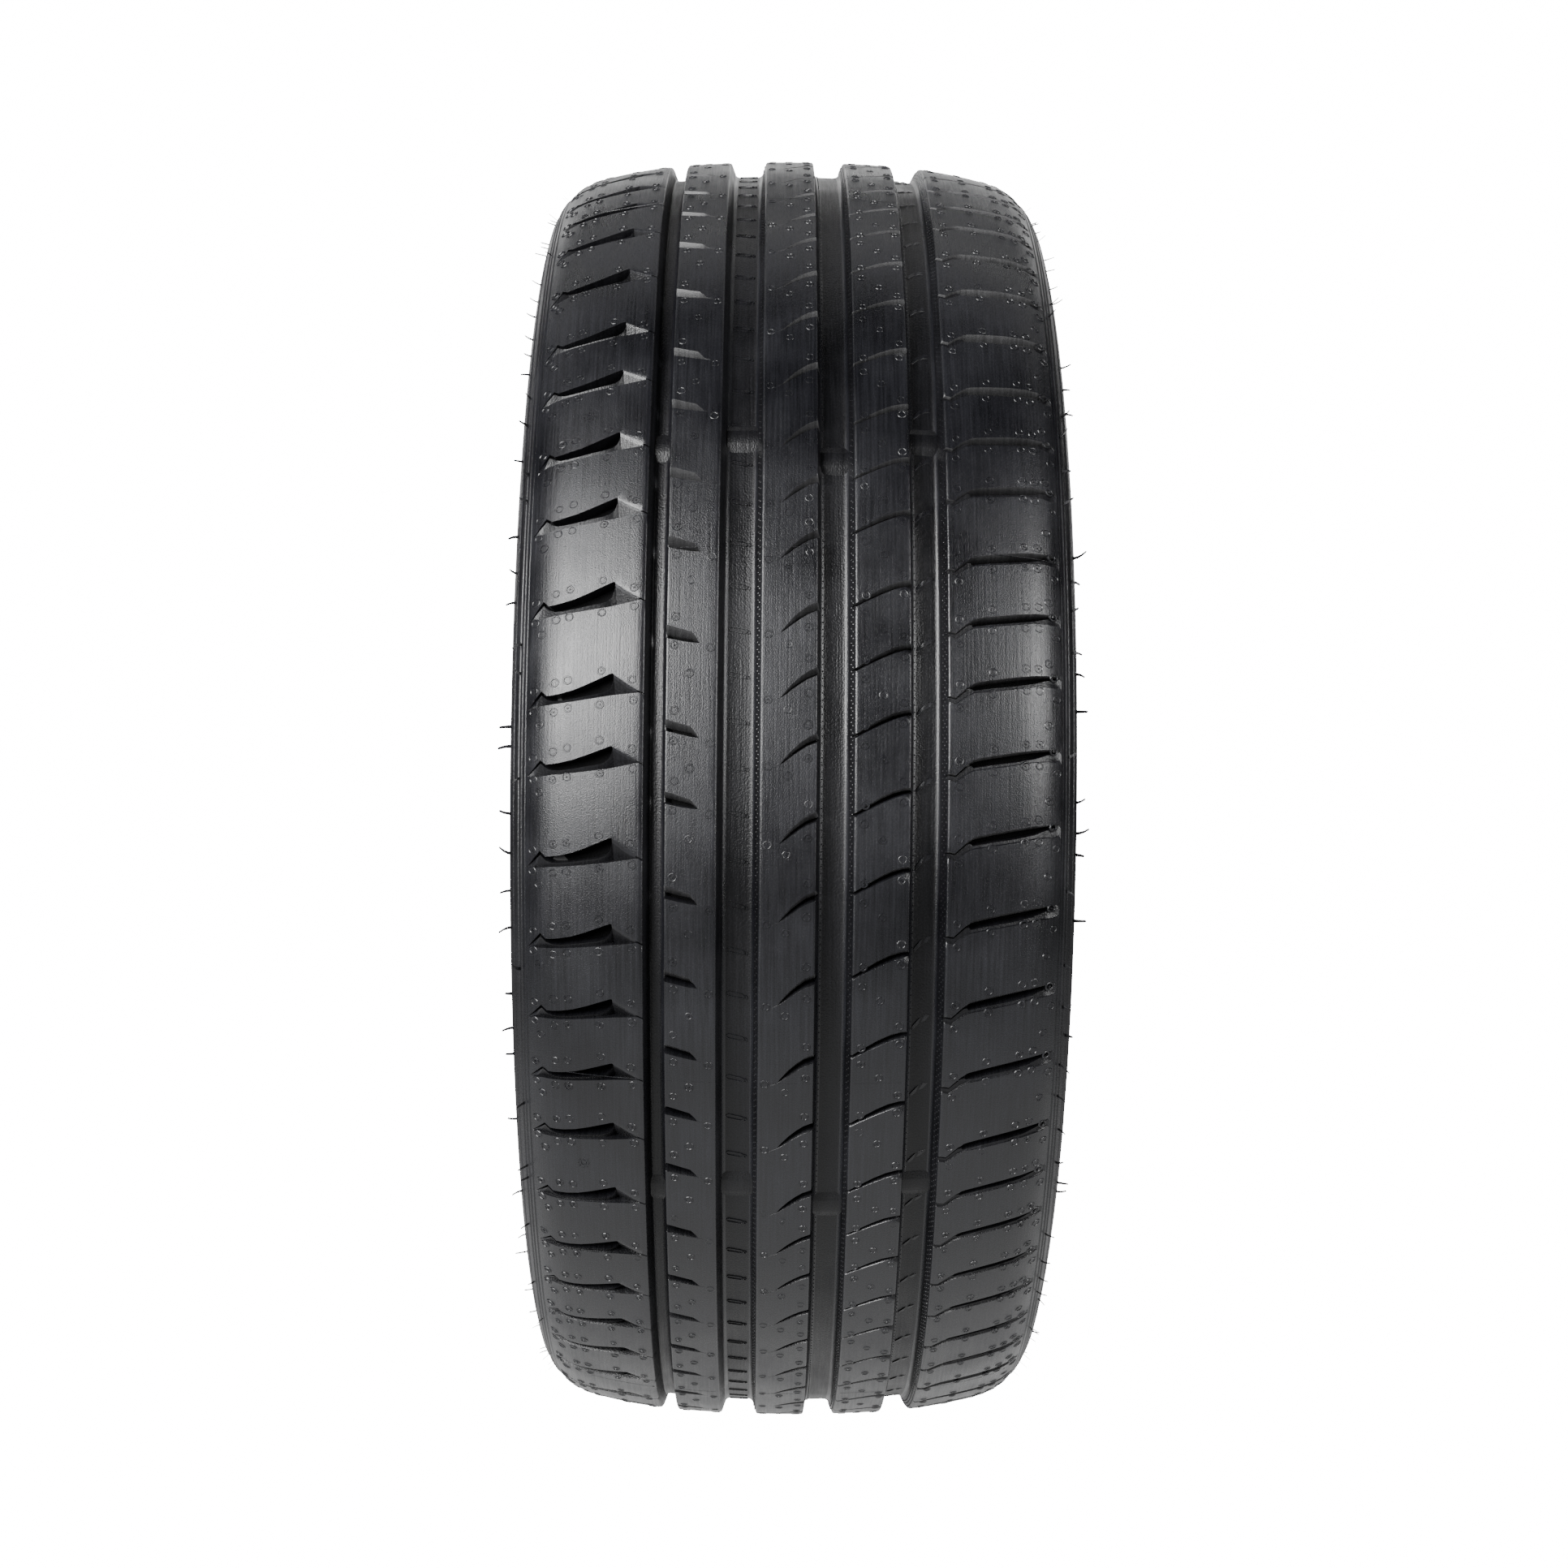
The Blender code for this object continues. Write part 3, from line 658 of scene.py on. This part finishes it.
RING_SEGMENTS = 288


def turned_piece(name, outline, material, node_name, side=1):
    """A ring that replaces a CAD node, turned from an outline drawn for the inboard side."""
    points = [(y * side, r) for y, r in outline]
    area = sum(y0 * r1 - y1 * r0 for (y0, r0), (y1, r1) in zip(points, points[1:] + points[:1]))
    if area > 0:
        points.reverse()
    angles = [TWO_PI * step / RING_SEGMENTS for step in range(RING_SEGMENTS)]
    vertices, faces = tube([[around(y, r, angle) for y, r in points] for angle in angles], closed=True)
    mesh_piece(name, vertices, faces, material, sharp=30, replaces=[node_name])


# --- Small raised details, each a closed mesh sunk a little into the rubber ---
SINK = 0.12


def heading_at(path, k, closed=False):
    """The direction of a path at one of its points."""
    count = len(path)
    before = path[(k - 1) % count if closed else max(k - 1, 0)]
    after = path[(k + 1) % count if closed else min(k + 1, count - 1)]
    return Vector((after[0] - before[0], after[1] - before[1])).normalized()


def tread_rows(path, angle, width, height, depth=0, closed=True):
    """Rows of a raised line along a path of (y, arc) points on the tread or on a groove's floor."""
    rows = []
    for k, (y, arc) in enumerate(path):
        along = heading_at(path, k, closed)
        across = Vector((-along.y, along.x)) * width / 2
        row = []
        for side, lift in ((1, -SINK), (0.35, height), (-0.35, height), (-1, -SINK)):
            place = angle + (arc + across.y * side) / RADIUS
            row.append(on_tread(y + across.x * side, place, depth - lift))
        rows.append(row)
    return rows


class Marks:
    """Gathers many small closed shapes into one piece."""

    def __init__(self):
        self.vertices = []
        self.faces = []

    def add(self, vertices, faces):
        """Adds one closed shape."""
        start = len(self.vertices)
        self.vertices += vertices
        self.faces += [tuple(k + start for k in face) for face in faces]

    def add_tube(self, rows, closed=False):
        """Adds a raised line or a hair from its cross sections."""
        self.add(*tube(rows, closed))

    def add_outline(self, path, angle, width, height, depth=0):
        """Adds a raised line around a closed path on the tread or on a groove's floor."""
        self.add_tube(tread_rows(path, angle, width, height, depth), closed=True)

    def piece(self, name, material, slot="tread_rubber"):
        """Makes the piece from everything that was added."""
        face_outwards(mesh_piece(name, self.vertices, self.faces, material, sharp=50).data)


def circle(y, arc, radius, count):
    """Points around a circle on the tread."""
    steps = [TWO_PI * k / count for k in range(count)]
    return [(y + radius * math.cos(step), arc + radius * math.sin(step)) for step in steps]


def small_dot(y, arc):
    """The outline of a dot on the tread."""
    return circle(y, arc, radius=0.3, count=5)


# Vent marks, as (y, arc) from a pitch's own place: the slot's tip, a notch's corner, a cut's end
OUTER_VENTS = (
    (-98, -2.5), (-92.3, -1.5), (-78.8, 2), (-66, -1.7), (-98, -14.5), (-92.3, -13.5), (-78.8, -12),
    (-65.5, -10), (-106.5, -5.5), (-106.5, -14.5), (-103.8, -20), (-48.8, -14.6), (-48.8, -26.9),
    (-42.5, -38.4), (-34.3, -28.1),
)
INNER_VENTS = (
    (5.5, 3.8), (5.5, -10), (-3, -17), (-11, -13.2), (28.3, 3.8), (28.3, -4.2), (35.8, -10.5), (43.8, 13.3),
    (43.8, 5), (66.5, 21.5), (66.5, 11.3), (80.3, 27), (80.3, 17.5), (94, 29), (94, 20), (99.5, 29.5),
    (99.5, 20.3), (105.8, 26.3), (107, 17), (103.8, 5.5),
)
VENT_WANDER = (0.25, 0.3)  # how far a mark strays from its place, in y and in arc
VENT_RADIUS = (1.4, 1.65)
VENT_HEIGHT = (0.18, 0.3)
STUB_SHARE = 0.35  # share of the marks with a stub in the middle
STUB_RISE = 0.1  # how far a stub stands above its ring


def make_vents(name, ring, places, material, seed):
    """The rings that the mould's vents leave, some with the stub of a trimmed hair."""
    chance = random.Random(seed)
    marks = Marks()
    for pitch in range(ring.count):
        for y, arc in places:
            y += chance.uniform(-VENT_WANDER[0], VENT_WANDER[0])
            arc += chance.uniform(-VENT_WANDER[1], VENT_WANDER[1])
            radius = chance.uniform(*VENT_RADIUS)
            height = chance.uniform(*VENT_HEIGHT)
            angle = ring.angle(pitch)
            marks.add_outline(circle(y, arc, radius, count=14), angle, width=0.85, height=height)
            if chance.random() < STUB_SHARE:
                marks.add_outline(small_dot(y, arc), angle, width=0.56, height=height + STUB_RISE)
    marks.piece(name, material)


STAR_ARCS = (166.0, -170.0)
STAR_Y = -87.0


def make_stars(material):
    """Two round marks on the outboard shoulder, each a ring inside a ring of dots."""
    marks = Marks()
    for arc in STAR_ARCS:
        ring = circle(STAR_Y, 0, radius=1.1, count=10)
        dots = [small_dot(*place) for place in circle(STAR_Y, 0, radius=2.3, count=8)]
        for path in (ring, *dots):
            marks.add_outline(path, arc / RADIUS, width=0.5, height=0.25)
    marks.piece("star_marks", material)


# Slanted outlines on the floor of the second groove, as (y, arc): a long one and a small one beside it
RUNG_PATHS = (
    (
        (-27.3, 1.9), (-26.9, 2.6), (-26.2, 2.8), (-21.0, 1.7), (-20.2, 1.2), (-20.0, 0.6),
        (-20.4, -0.1), (-21.1, -0.2), (-26.3, 0.9), (-27.0, 1.2),
    ),
    ((-19.8, 1.2), (-18.9, 0.9), (-18.6, 0.3), (-18.9, -0.3), (-19.7, -0.3)),
)
RUNG_COUNT = 105
RUNG_START = 122.5  # arc of the first


def make_rungs(material):
    """The slanted outlines, evenly spaced around the tyre."""
    marks = Marks()
    for rung in range(RUNG_COUNT):
        angle = RUNG_START / RADIUS + TWO_PI * rung / RUNG_COUNT
        for path in RUNG_PATHS:
            marks.add_outline(path, angle, width=0.42, height=0.36, depth=7.27)
    marks.piece("groove_rungs", material)


# Rows of dots on the grooves' walls: (y, depth, the wall's normal across and up, share of a step)
DOT_ROWS = (
    (-15.4, 4.0, -0.95, 0.32, 0.0), (-14.75, 2.1, -0.95, 0.32, 0.5), (22.85, 3.8, -0.95, 0.31, 0.0),
    (23.4, 2.1, -0.95, 0.31, 0.5), (60.45, 4.2, -0.94, 0.35, 0.5), (60.95, 2.9, -0.94, 0.35, 0.0),
    (61.45, 1.55, -0.94, 0.35, 0.5), (11.2, 7.0, 0.35, 0.94, 0.2), (49.0, 7.0, 0.35, 0.94, 0.7),
)
DOT_SPACING = 3.0
DOT_HALF = 0.3
DOT_HEIGHT = 0.4
DOT_SINK = 0.05


def make_dots(material):
    """Tiny pyramids in rows along the grooves' walls."""
    marks = Marks()
    count = round(CIRCUMFERENCE / DOT_SPACING)
    faces = [(0, 1, 4), (1, 2, 4), (2, 3, 4), (3, 0, 4), (3, 2, 1, 0)]
    for y, depth, across, up, share in DOT_ROWS:
        for step in range(count):
            angle = TWO_PI * (step + share) / count
            shape = []
            for along, turn in ((-1, -1), (1, -1), (1, 1), (-1, 1)):
                shift = DOT_HALF * along
                foot = y + up * shift - across * DOT_SINK
                place = angle + turn * DOT_HALF / RADIUS
                shape.append(on_tread(foot, place, depth + across * shift + up * DOT_SINK))
            shape.append(on_tread(y + across * DOT_HEIGHT, angle, depth - up * DOT_HEIGHT))
            marks.add(shape, faces)
    marks.piece("wall_dots", material)


# Wear bars in each groove: each wall's y at the bar's foot and top, and the angle of the first
WEAR_BARS = (
    ((-59.75, -60.0), (-53.1, -52.9), 27.0),
    ((-28.9, -29.4), (-16.9, -15.8), 27.7),
    ((10.1, 9.75), (21.4, 22.4), 25.7),
    ((47.9, 47.6), (59.2, 60.1), 27.7),
)
WEAR_BARS_AROUND = 6
WEAR_BAR_SECTION = ((-7.6, 7.5), (-3.5, 5.85), (-2.9, 5.65), (2.9, 5.65), (3.5, 5.85), (7.6, 7.5))


def make_wear_bars(material):
    """Low bars across the grooves, which show when the tread is worn."""
    marks = Marks()
    for *walls, first in WEAR_BARS:
        for bar in range(WEAR_BARS_AROUND):
            angle = math.radians(first + 360 * bar / WEAR_BARS_AROUND)
            rows = []
            for foot, top in walls:
                row = []
                for arc, depth in WEAR_BAR_SECTION:
                    row.append(on_tread(foot if depth > GROOVE_FLOOR else top, angle + arc / RADIUS, depth))
                rows.append(row)
            marks.add_tube(rows)
    marks.piece("wear_bars", material)


# The mould's segments meet in fine lines across the ribs
MOULD_SEGMENTS = 9
MOULD_START = 17.8  # degrees, of the first line
RIB_SPANS = ((-108.8, -61.8), (-51.4, -32.9), (-12.8, 7.8), (25.4, 45.8), (63.2, 108.8))
LINE_STEP = 6.0


def make_parting_lines(material):
    """The fine lines that the mould's joints leave."""
    marks = Marks()
    for line in range(MOULD_SEGMENTS):
        angle = math.radians(MOULD_START + 360 * line / MOULD_SEGMENTS)
        for low, high in RIB_SPANS:
            steps = round((high - low) / LINE_STEP)
            path = [(low + (high - low) * k / steps, 0.0) for k in range(steps + 1)]
            marks.add_tube(tread_rows(path, angle, width=0.3, height=0.05, closed=False))
    marks.piece("parting_lines", material)


HAIRS_EACH_SIDE = 124
HAIR_SPREAD = 0.35  # how far a hair strays from even spacing, as a share of it
HAIR_ROOTS = (112.3, 114.5, 116.6, 117.3)  # y
HAIR_ROOT_DEPTH = 0.3
FLANK_START = 116  # hairs past this y point sideways, and the others up and out
SIDEWAYS, UP_AND_OUT = (0.9, 0.25), (0.7, 0.6)
HAIR_LENGTH = (3.2, 6.0)
HAIR_HALF_WIDTH = (0.6, 0.78)
HAIR_TAPER = 0.3  # share of its width that a hair loses towards its tip
HAIR_LEAN = 0.5
HAIR_STEPS = 3
HAIR_SIDES = 4
HAIR_SLANT = 0.7  # a hair's cross section lies at about 45 degrees


def make_hairs(material, seed):
    """Thin rubber hairs from the vents in the sides of the mould."""
    chance = random.Random(seed)
    marks = Marks()
    for side in (-1, 1):
        for hair in range(HAIRS_EACH_SIDE):
            angle = TWO_PI * (hair + chance.uniform(-HAIR_SPREAD, HAIR_SPREAD)) / HAIRS_EACH_SIDE
            y = chance.choice(HAIR_ROOTS)
            length = chance.uniform(*HAIR_LENGTH)
            half_width = chance.uniform(*HAIR_HALF_WIDTH)
            lean = chance.uniform(-HAIR_LEAN, HAIR_LEAN)
            radius, sine, cosine = crown(y)
            root = Vector((y - HAIR_ROOT_DEPTH * sine, radius - HAIR_ROOT_DEPTH * cosine))
            out = Vector(SIDEWAYS if y > FLANK_START else UP_AND_OUT)
            rows = []
            for step in range(HAIR_STEPS + 1):
                part = step / HAIR_STEPS
                centre = root + out * length * part
                turn = angle + lean * length * part**2 / radius
                width = half_width * (1 - HAIR_TAPER * part)
                row = []
                for corner in range(HAIR_SIDES):
                    corner_angle = TWO_PI * corner / HAIR_SIDES
                    shift = width * math.cos(corner_angle) * HAIR_SLANT
                    place = turn + width * math.sin(corner_angle) / radius
                    row.append(around(side * (centre.x + shift), centre.y + shift, place))
                rows.append(row)
            marks.add_tube(rows)
    marks.piece("vent_hairs", material, "sidewall_rubber")


# --- Sidewall details ---
FINE_BAND = (256.5, 272.0)  # radii of the band of fine ribs on each sidewall
FINE_RIBS = 540
FINE_STEPS = 3
FINE_SLANT = 0.012  # radians that a rib turns in each step
FINE_WIDTH, FINE_HEIGHT = 1.1, 0.32
PLAIN_FIELDS = 4  # smooth fields in that band, where a maker would put lettering
PLAIN_SHARE = 0.42
FIELD_INSET = 0.012  # radians from the field's ends to its raised outline
FIELD_STEPS = 24
FIELD_SECTION = ((-0.3, -SINK), (0.0, 0.3), (0.3, -SINK))  # its foot, crest and foot, as (inset, lift)


def on_wall(radius, angle, side, lift):
    """A point over the sidewall, between its widest point and the rim protector."""
    line = [(r, y) for y, r in reversed(smooth(FLANK))]
    return around(side * (follow(line, radius) + lift), radius, angle)


def rib_row(radius, angle, side):
    """Foot, crest and foot of a rib that runs up the sidewall."""
    half = FINE_WIDTH / 2 / radius
    section = ((half, -SINK), (0, FINE_HEIGHT), (-half, -SINK))
    return [on_wall(radius, angle + turn, side, lift) for turn, lift in section]


def field_outline(low, high, start, end):
    """Points of (radius, angle) around a plain field, a little inside the ribs beside it."""
    span = end - start - 2 * FIELD_INSET
    angles = [start + FIELD_INSET + span * k / FIELD_STEPS for k in range(FIELD_STEPS + 1)]
    return [(high, angle) for angle in angles] + [(low, angle) for angle in reversed(angles)]


def field_row(path, k, side):
    """Foot, crest and foot of a raised line around a field on the sidewall."""
    middle_r = sum(radius for radius, _ in path) / len(path)
    middle_a = sum(angle for _, angle in path) / len(path)
    radius, angle = path[k]
    is_corner = k in (0, len(path) // 2 - 1, len(path) // 2, len(path) - 1)
    row = []
    for inset, lift in FIELD_SECTION:
        r = radius - math.copysign(inset, radius - middle_r)
        place = angle - (math.copysign(inset, angle - middle_a) / radius if is_corner else 0)
        row.append(on_wall(r, place, side, lift))
    return row


def make_wall_ribs(name, side, material):
    """Fine slanted ribs in bands around the sidewall, with plain fields between them."""
    marks = Marks()
    low, high = FINE_BAND
    for rib in range(FINE_RIBS):
        part = rib / FINE_RIBS * PLAIN_FIELDS % 1
        if part < PLAIN_SHARE:
            continue
        angle = TWO_PI * rib / FINE_RIBS
        rows = []
        for step in range(FINE_STEPS + 1):
            radius = low + (high - low) * step / FINE_STEPS
            rows.append(rib_row(radius, angle + FINE_SLANT * step * side, side))
        marks.add_tube(rows)
    for field in range(PLAIN_FIELDS):
        start = TWO_PI * field / PLAIN_FIELDS
        path = field_outline(low, high, start, start + TWO_PI * PLAIN_SHARE / PLAIN_FIELDS)
        marks.add_tube([field_row(path, k, side) for k in range(len(path))], closed=True)
    marks.piece(name, material, "sidewall_rubber")


LINER_RIBS = 60
LINER_RIB_ENDS = 3  # stations of the liner's line that the ribs leave free at each bead
LINER_RIB_SLANT = 0.10  # radians from one end to the other
LINER_RIB_SECTION = ((0.5, -SINK), (0, 0.3), (-0.5, -SINK))  # its foot, crest and foot: (across, lift)


def make_liner_ribs(material):
    """Low ribs that the curing bladder leaves on the inner surface."""
    marks = Marks()
    line = both_sides(carcass_line(LINER_INSIDE))[LINER_RIB_ENDS:-LINER_RIB_ENDS]
    for rib in range(LINER_RIBS):
        rows = []
        for k, (y, r) in enumerate(line):
            angle = TWO_PI * rib / LINER_RIBS + LINER_RIB_SLANT * (k / len(line) - 0.5)
            along = heading_at(line, k)
            inward = Vector((along.y, -along.x))
            row = []
            for turn, lift in LINER_RIB_SECTION:
                row.append(around(y + inward.x * lift, r + inward.y * lift, angle + turn / r))
            rows.append(row)
        marks.add_tube(rows)
    marks.piece("liner_ribs", material, "inner_rubber")


# --- Materials ---


def connect(tree, node, inputs):
    """Sets each input of a node to a value, or links it to another node's output."""
    for key, value in inputs.items():
        if isinstance(value, bpy.types.NodeSocket):
            tree.links.new(value, node.inputs[key])
        else:
            node.inputs[key].default_value = value


def new_node(tree, kind, inputs, operation=None):
    """A new shader node with its inputs set."""
    node = tree.nodes.new("ShaderNode" + kind)
    if operation:
        node.operation = operation
    connect(tree, node, inputs)
    return node


NOISE_RANGE = (0.3, 0.7)  # most of a noise texture lies between these
HAZE = 0.08  # how far the clouds change the roughness
STREAK_RELIEF = 0.7  # height of the streaks, as a share of the grain's


def rubber(name, colour, roughness, grain, height, shine=0.5):
    """Moulded rubber: fine grain in the surface, cloudy gloss and faint streaks of release agent."""
    material = bpy.data.materials.new(name)
    material.use_nodes = True
    tree = material.node_tree
    place = tree.nodes.new("ShaderNodeTexCoord").outputs["Object"]

    def noise(size, detail, stretch=(1, 1, 1)):
        stretched = new_node(tree, "Mapping", {"Vector": place, "Scale": stretch}).outputs["Vector"]
        inputs = {"Vector": stretched, "Scale": 1 / (size * MM), "Detail": detail}
        return new_node(tree, "TexNoise", inputs).outputs["Fac"]

    def in_range(value, low, high):
        """The noise, spread between a low and a high value."""
        start, end = NOISE_RANGE
        inputs = {"Value": value, "From Min": start, "From Max": end, "To Min": low, "To Max": high}
        return new_node(tree, "MapRange", inputs).outputs["Result"]

    clouds = noise(size=38, detail=5)
    streaks = noise(size=0.8, detail=3, stretch=(0.03, 1, 0.03))  # long around the tyre
    grains = noise(size=grain, detail=2)
    cloudy = in_range(clouds, roughness - HAZE, roughness + HAZE)
    gloss = new_node(tree, "Math", {0: cloudy, 1: in_range(streaks, -HAZE / 2, HAZE / 2)}, "ADD")
    tint = tree.nodes.new("ShaderNodeRGB").outputs["Color"]
    tint.default_value = (*colour, 1)
    for value, darkest in ((clouds, 0.7), (streaks, 0.7), (grains, 0.6)):
        inputs = {0: tint, "Scale": in_range(value, darkest, 1.4)}
        tint = new_node(tree, "VectorMath", inputs, "SCALE").outputs["Vector"]
    relief = new_node(tree, "Math", {0: streaks, 1: STREAK_RELIEF, 2: grains}, "MULTIPLY_ADD")
    inputs = {"Strength": 0.8, "Distance": height * MM, "Height": relief.outputs["Value"]}
    bump = new_node(tree, "Bump", inputs)
    looks = {
        "Base Color": tint,
        "Roughness": gloss.outputs["Value"],
        "Normal": bump.outputs["Normal"],
        "Specular IOR Level": shine,
    }
    connect(tree, tree.nodes["Principled BSDF"], looks)
    return material


# --- Studio, in metres ---
CAMERA_PLACE = (1.3268, -0.0103, 0.0)
CAMERA_TURN, CAMERA_RISE = 0.0060, 0.00157  # how far it looks to the side and up in a metre
CAMERA_ROLL = 0.47  # degrees

# Name, azimuth and elevation in degrees, distance, size, power and what it points at
SOFTBOXES = (
    ("key", -34, 18.5, 2.4, (1.0, 1.4), 155, (0.15, 0, 0)),
    ("fill", 48, 16, 2.4, (0.7, 1.2), 48, (0.15, 0, 0)),
    ("back", 180, 24, 3.0, (4.0, 2.0), 50, (0, 0, 0)),
    ("top", 180, 72, 2.2, (4.0, 0.6), 9, (0, 0, 0.2)),
)

WHITE = 16.3  # shows as pure white
ROOM_LIGHT = 0.02
FLOOR_LIGHT = 0.95
FLOOR_NEAR, FLOOR_FAR = 0.42, 0.85  # the sheet is bright up to one radius and dim past the other
FLOOR_DIM = 0.06


def aimed(thing, place, target, roll=0.0):
    """Puts a light or camera at a place, looking at a target."""
    back = (Vector(place) - Vector(target)).normalized()
    right = Vector((0, 0, 1)).cross(back).normalized()
    up = back.cross(right)
    turn = Matrix((right, up, back)).transposed() @ Matrix.Rotation(roll, 3, "Z")
    thing.matrix_world = Matrix.Translation(place) @ turn.to_4x4()


def make_camera():
    """A long lens at the height of the wheel's centre, square on to the tread."""
    camera = bpy.data.cameras.new("camera")
    camera.lens = 57.5
    camera.sensor_width = 36.0
    camera.clip_start = 0.05
    holder = link("camera", camera)
    target = (CAMERA_PLACE[0] - 1, CAMERA_PLACE[1] + CAMERA_TURN, CAMERA_RISE)
    aimed(holder, CAMERA_PLACE, target, math.radians(CAMERA_ROLL))
    bpy.context.scene.camera = holder


def softbox(name, azimuth, elevation, distance, size, power, target):
    """An area light. Azimuth is from +X towards +Y, and size is (width, height)."""
    light = bpy.data.lights.new(name, "AREA")
    light.shape = "RECTANGLE"
    light.size, light.size_y = size
    light.energy = power
    holder = link(name, light)
    turn, rise = math.radians(azimuth), math.radians(elevation)
    flat = math.cos(rise) * distance
    aimed(holder, (flat * math.cos(turn), flat * math.sin(turn), math.sin(rise) * distance), target)
    holder.visible_camera = False


def white_or(tree, light):
    """A strength that shows as white to the camera, and lights the tyre only as much as is given."""
    seen = tree.nodes.new("ShaderNodeLightPath").outputs["Is Camera Ray"]
    inputs = {"Value": seen, "To Min": light, "To Max": WHITE}
    return new_node(tree, "MapRange", inputs).outputs["Result"]


def make_world():
    """An even white room behind the tyre, which lights it only softly."""
    world = bpy.data.worlds.new("studio")
    world.use_nodes = True
    tree = world.node_tree
    inputs = {"Color": (1, 1, 1, 1), "Strength": white_or(tree, ROOM_LIGHT)}
    connect(tree, tree.nodes["Background"], inputs)
    bpy.context.scene.world = world


def make_floor():
    """A plain white sheet under the tyre, which lights it less from far away."""
    material = bpy.data.materials.new("floor")
    material.use_nodes = True
    tree = material.node_tree
    place = tree.nodes.new("ShaderNodeTexCoord").outputs["Object"]
    flat = new_node(tree, "VectorMath", {0: place, 1: (1, 1, 0)}, "MULTIPLY").outputs["Vector"]
    distance = new_node(tree, "VectorMath", {0: flat}, "LENGTH").outputs["Value"]
    inputs = {"Value": distance, "From Min": FLOOR_NEAR, "From Max": FLOOR_FAR}
    inputs |= {"To Min": FLOOR_LIGHT, "To Max": FLOOR_LIGHT * FLOOR_DIM}
    fade = new_node(tree, "MapRange", inputs)
    fade.interpolation_type = "SMOOTHSTEP"
    looks = {
        "Base Color": (0.06, 0.06, 0.06, 1),
        "Roughness": 0.9,
        "Emission Color": (1, 1, 1, 1),
        "Emission Strength": white_or(tree, fade.outputs["Result"]),
    }
    connect(tree, tree.nodes["Principled BSDF"], looks)
    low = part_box("tread_cap")[0].z
    half = 12.0
    mesh = bpy.data.meshes.new("floor")
    corners = [(-half, -half, low), (half, -half, low), (half, half, low), (-half, half, low)]
    mesh.from_pydata(corners, [], [(0, 1, 2, 3)])
    mesh.materials.append(material)
    link("floor", mesh)


# --- Putting it together ---
# The grain's size and height are in millimetres
tread_rubber = rubber("tread_rubber", (0.0041, 0.0042, 0.0056), roughness=0.34, grain=0.45, height=0.14)
# Painted light: a much lighter colour for the slots' walls that face down the tread, as if lit from below
# and in front, with a rougher finish.
painted_light_rubber = rubber("painted_light_rubber", (0.028, 0.028, 0.029), roughness=0.5, grain=0.45, height=0.14)
# Painted shade: a darker colour with weaker reflections for the grooves, the slots' walls that face up the
# tread, and the wear bars.
painted_shade_colour = (0.0028, 0.0028, 0.0036)
painted_shade_rubber = rubber("painted_shade_rubber", painted_shade_colour, roughness=0.4, grain=0.7, height=0.2, shine=0.32)
# Painted shade: near black, with almost no reflections, for the slots' deep floors.
deep_shade_colour = (0.0010, 0.0010, 0.0012)
deep_shade_rubber = rubber("deep_shade_rubber", deep_shade_colour, roughness=0.6, grain=0.45, height=0.14, shine=0.04)
sidewall_rubber = rubber("sidewall_rubber", (0.0050, 0.0050, 0.0062), roughness=0.42, grain=0.7, height=0.2)
inner_rubber = rubber("inner_rubber", (0.018, 0.018, 0.019), roughness=0.4, grain=1.6, height=0.3)

make_tread(tread_rubber, painted_light_rubber, painted_shade_rubber, deep_shade_rubber)
side_rings = (
    ("wing_", wing_outline(), "tread_wing_"),
    ("flank_", sidewall_outline(), "sidewall_"),
    ("bead_", cushion_outline(), "rim_cushion_"),
)
for side_name, side in (("outboard", -1), ("inboard", 1)):
    for piece_name, outline, node_name in side_rings:
        names = (piece_name + side_name, node_name + side_name)
        turned_piece(names[0], outline, sidewall_rubber, names[1], side)
turned_piece("liner", liner_outline(), inner_rubber, "inner_liner")
make_vents("vent_marks_outboard", outer_pitches, OUTER_VENTS, tread_rubber, seed=4)
make_vents("vent_marks_inboard", inner_pitches, INNER_VENTS, tread_rubber, seed=5)
make_stars(tread_rubber)
make_rungs(tread_rubber)
make_dots(tread_rubber)
# The wear bars in the grooves get the grooves' painted shade.
make_wear_bars(painted_shade_rubber)
make_parting_lines(tread_rubber)
make_hairs(sidewall_rubber, seed=6)
make_wall_ribs("wall_ribs_outboard", -1, sidewall_rubber)
make_wall_ribs("wall_ribs_inboard", 1, sidewall_rubber)
make_liner_ribs(inner_rubber)

make_world()
make_floor()
for values in SOFTBOXES:
    softbox(*values)
make_camera()
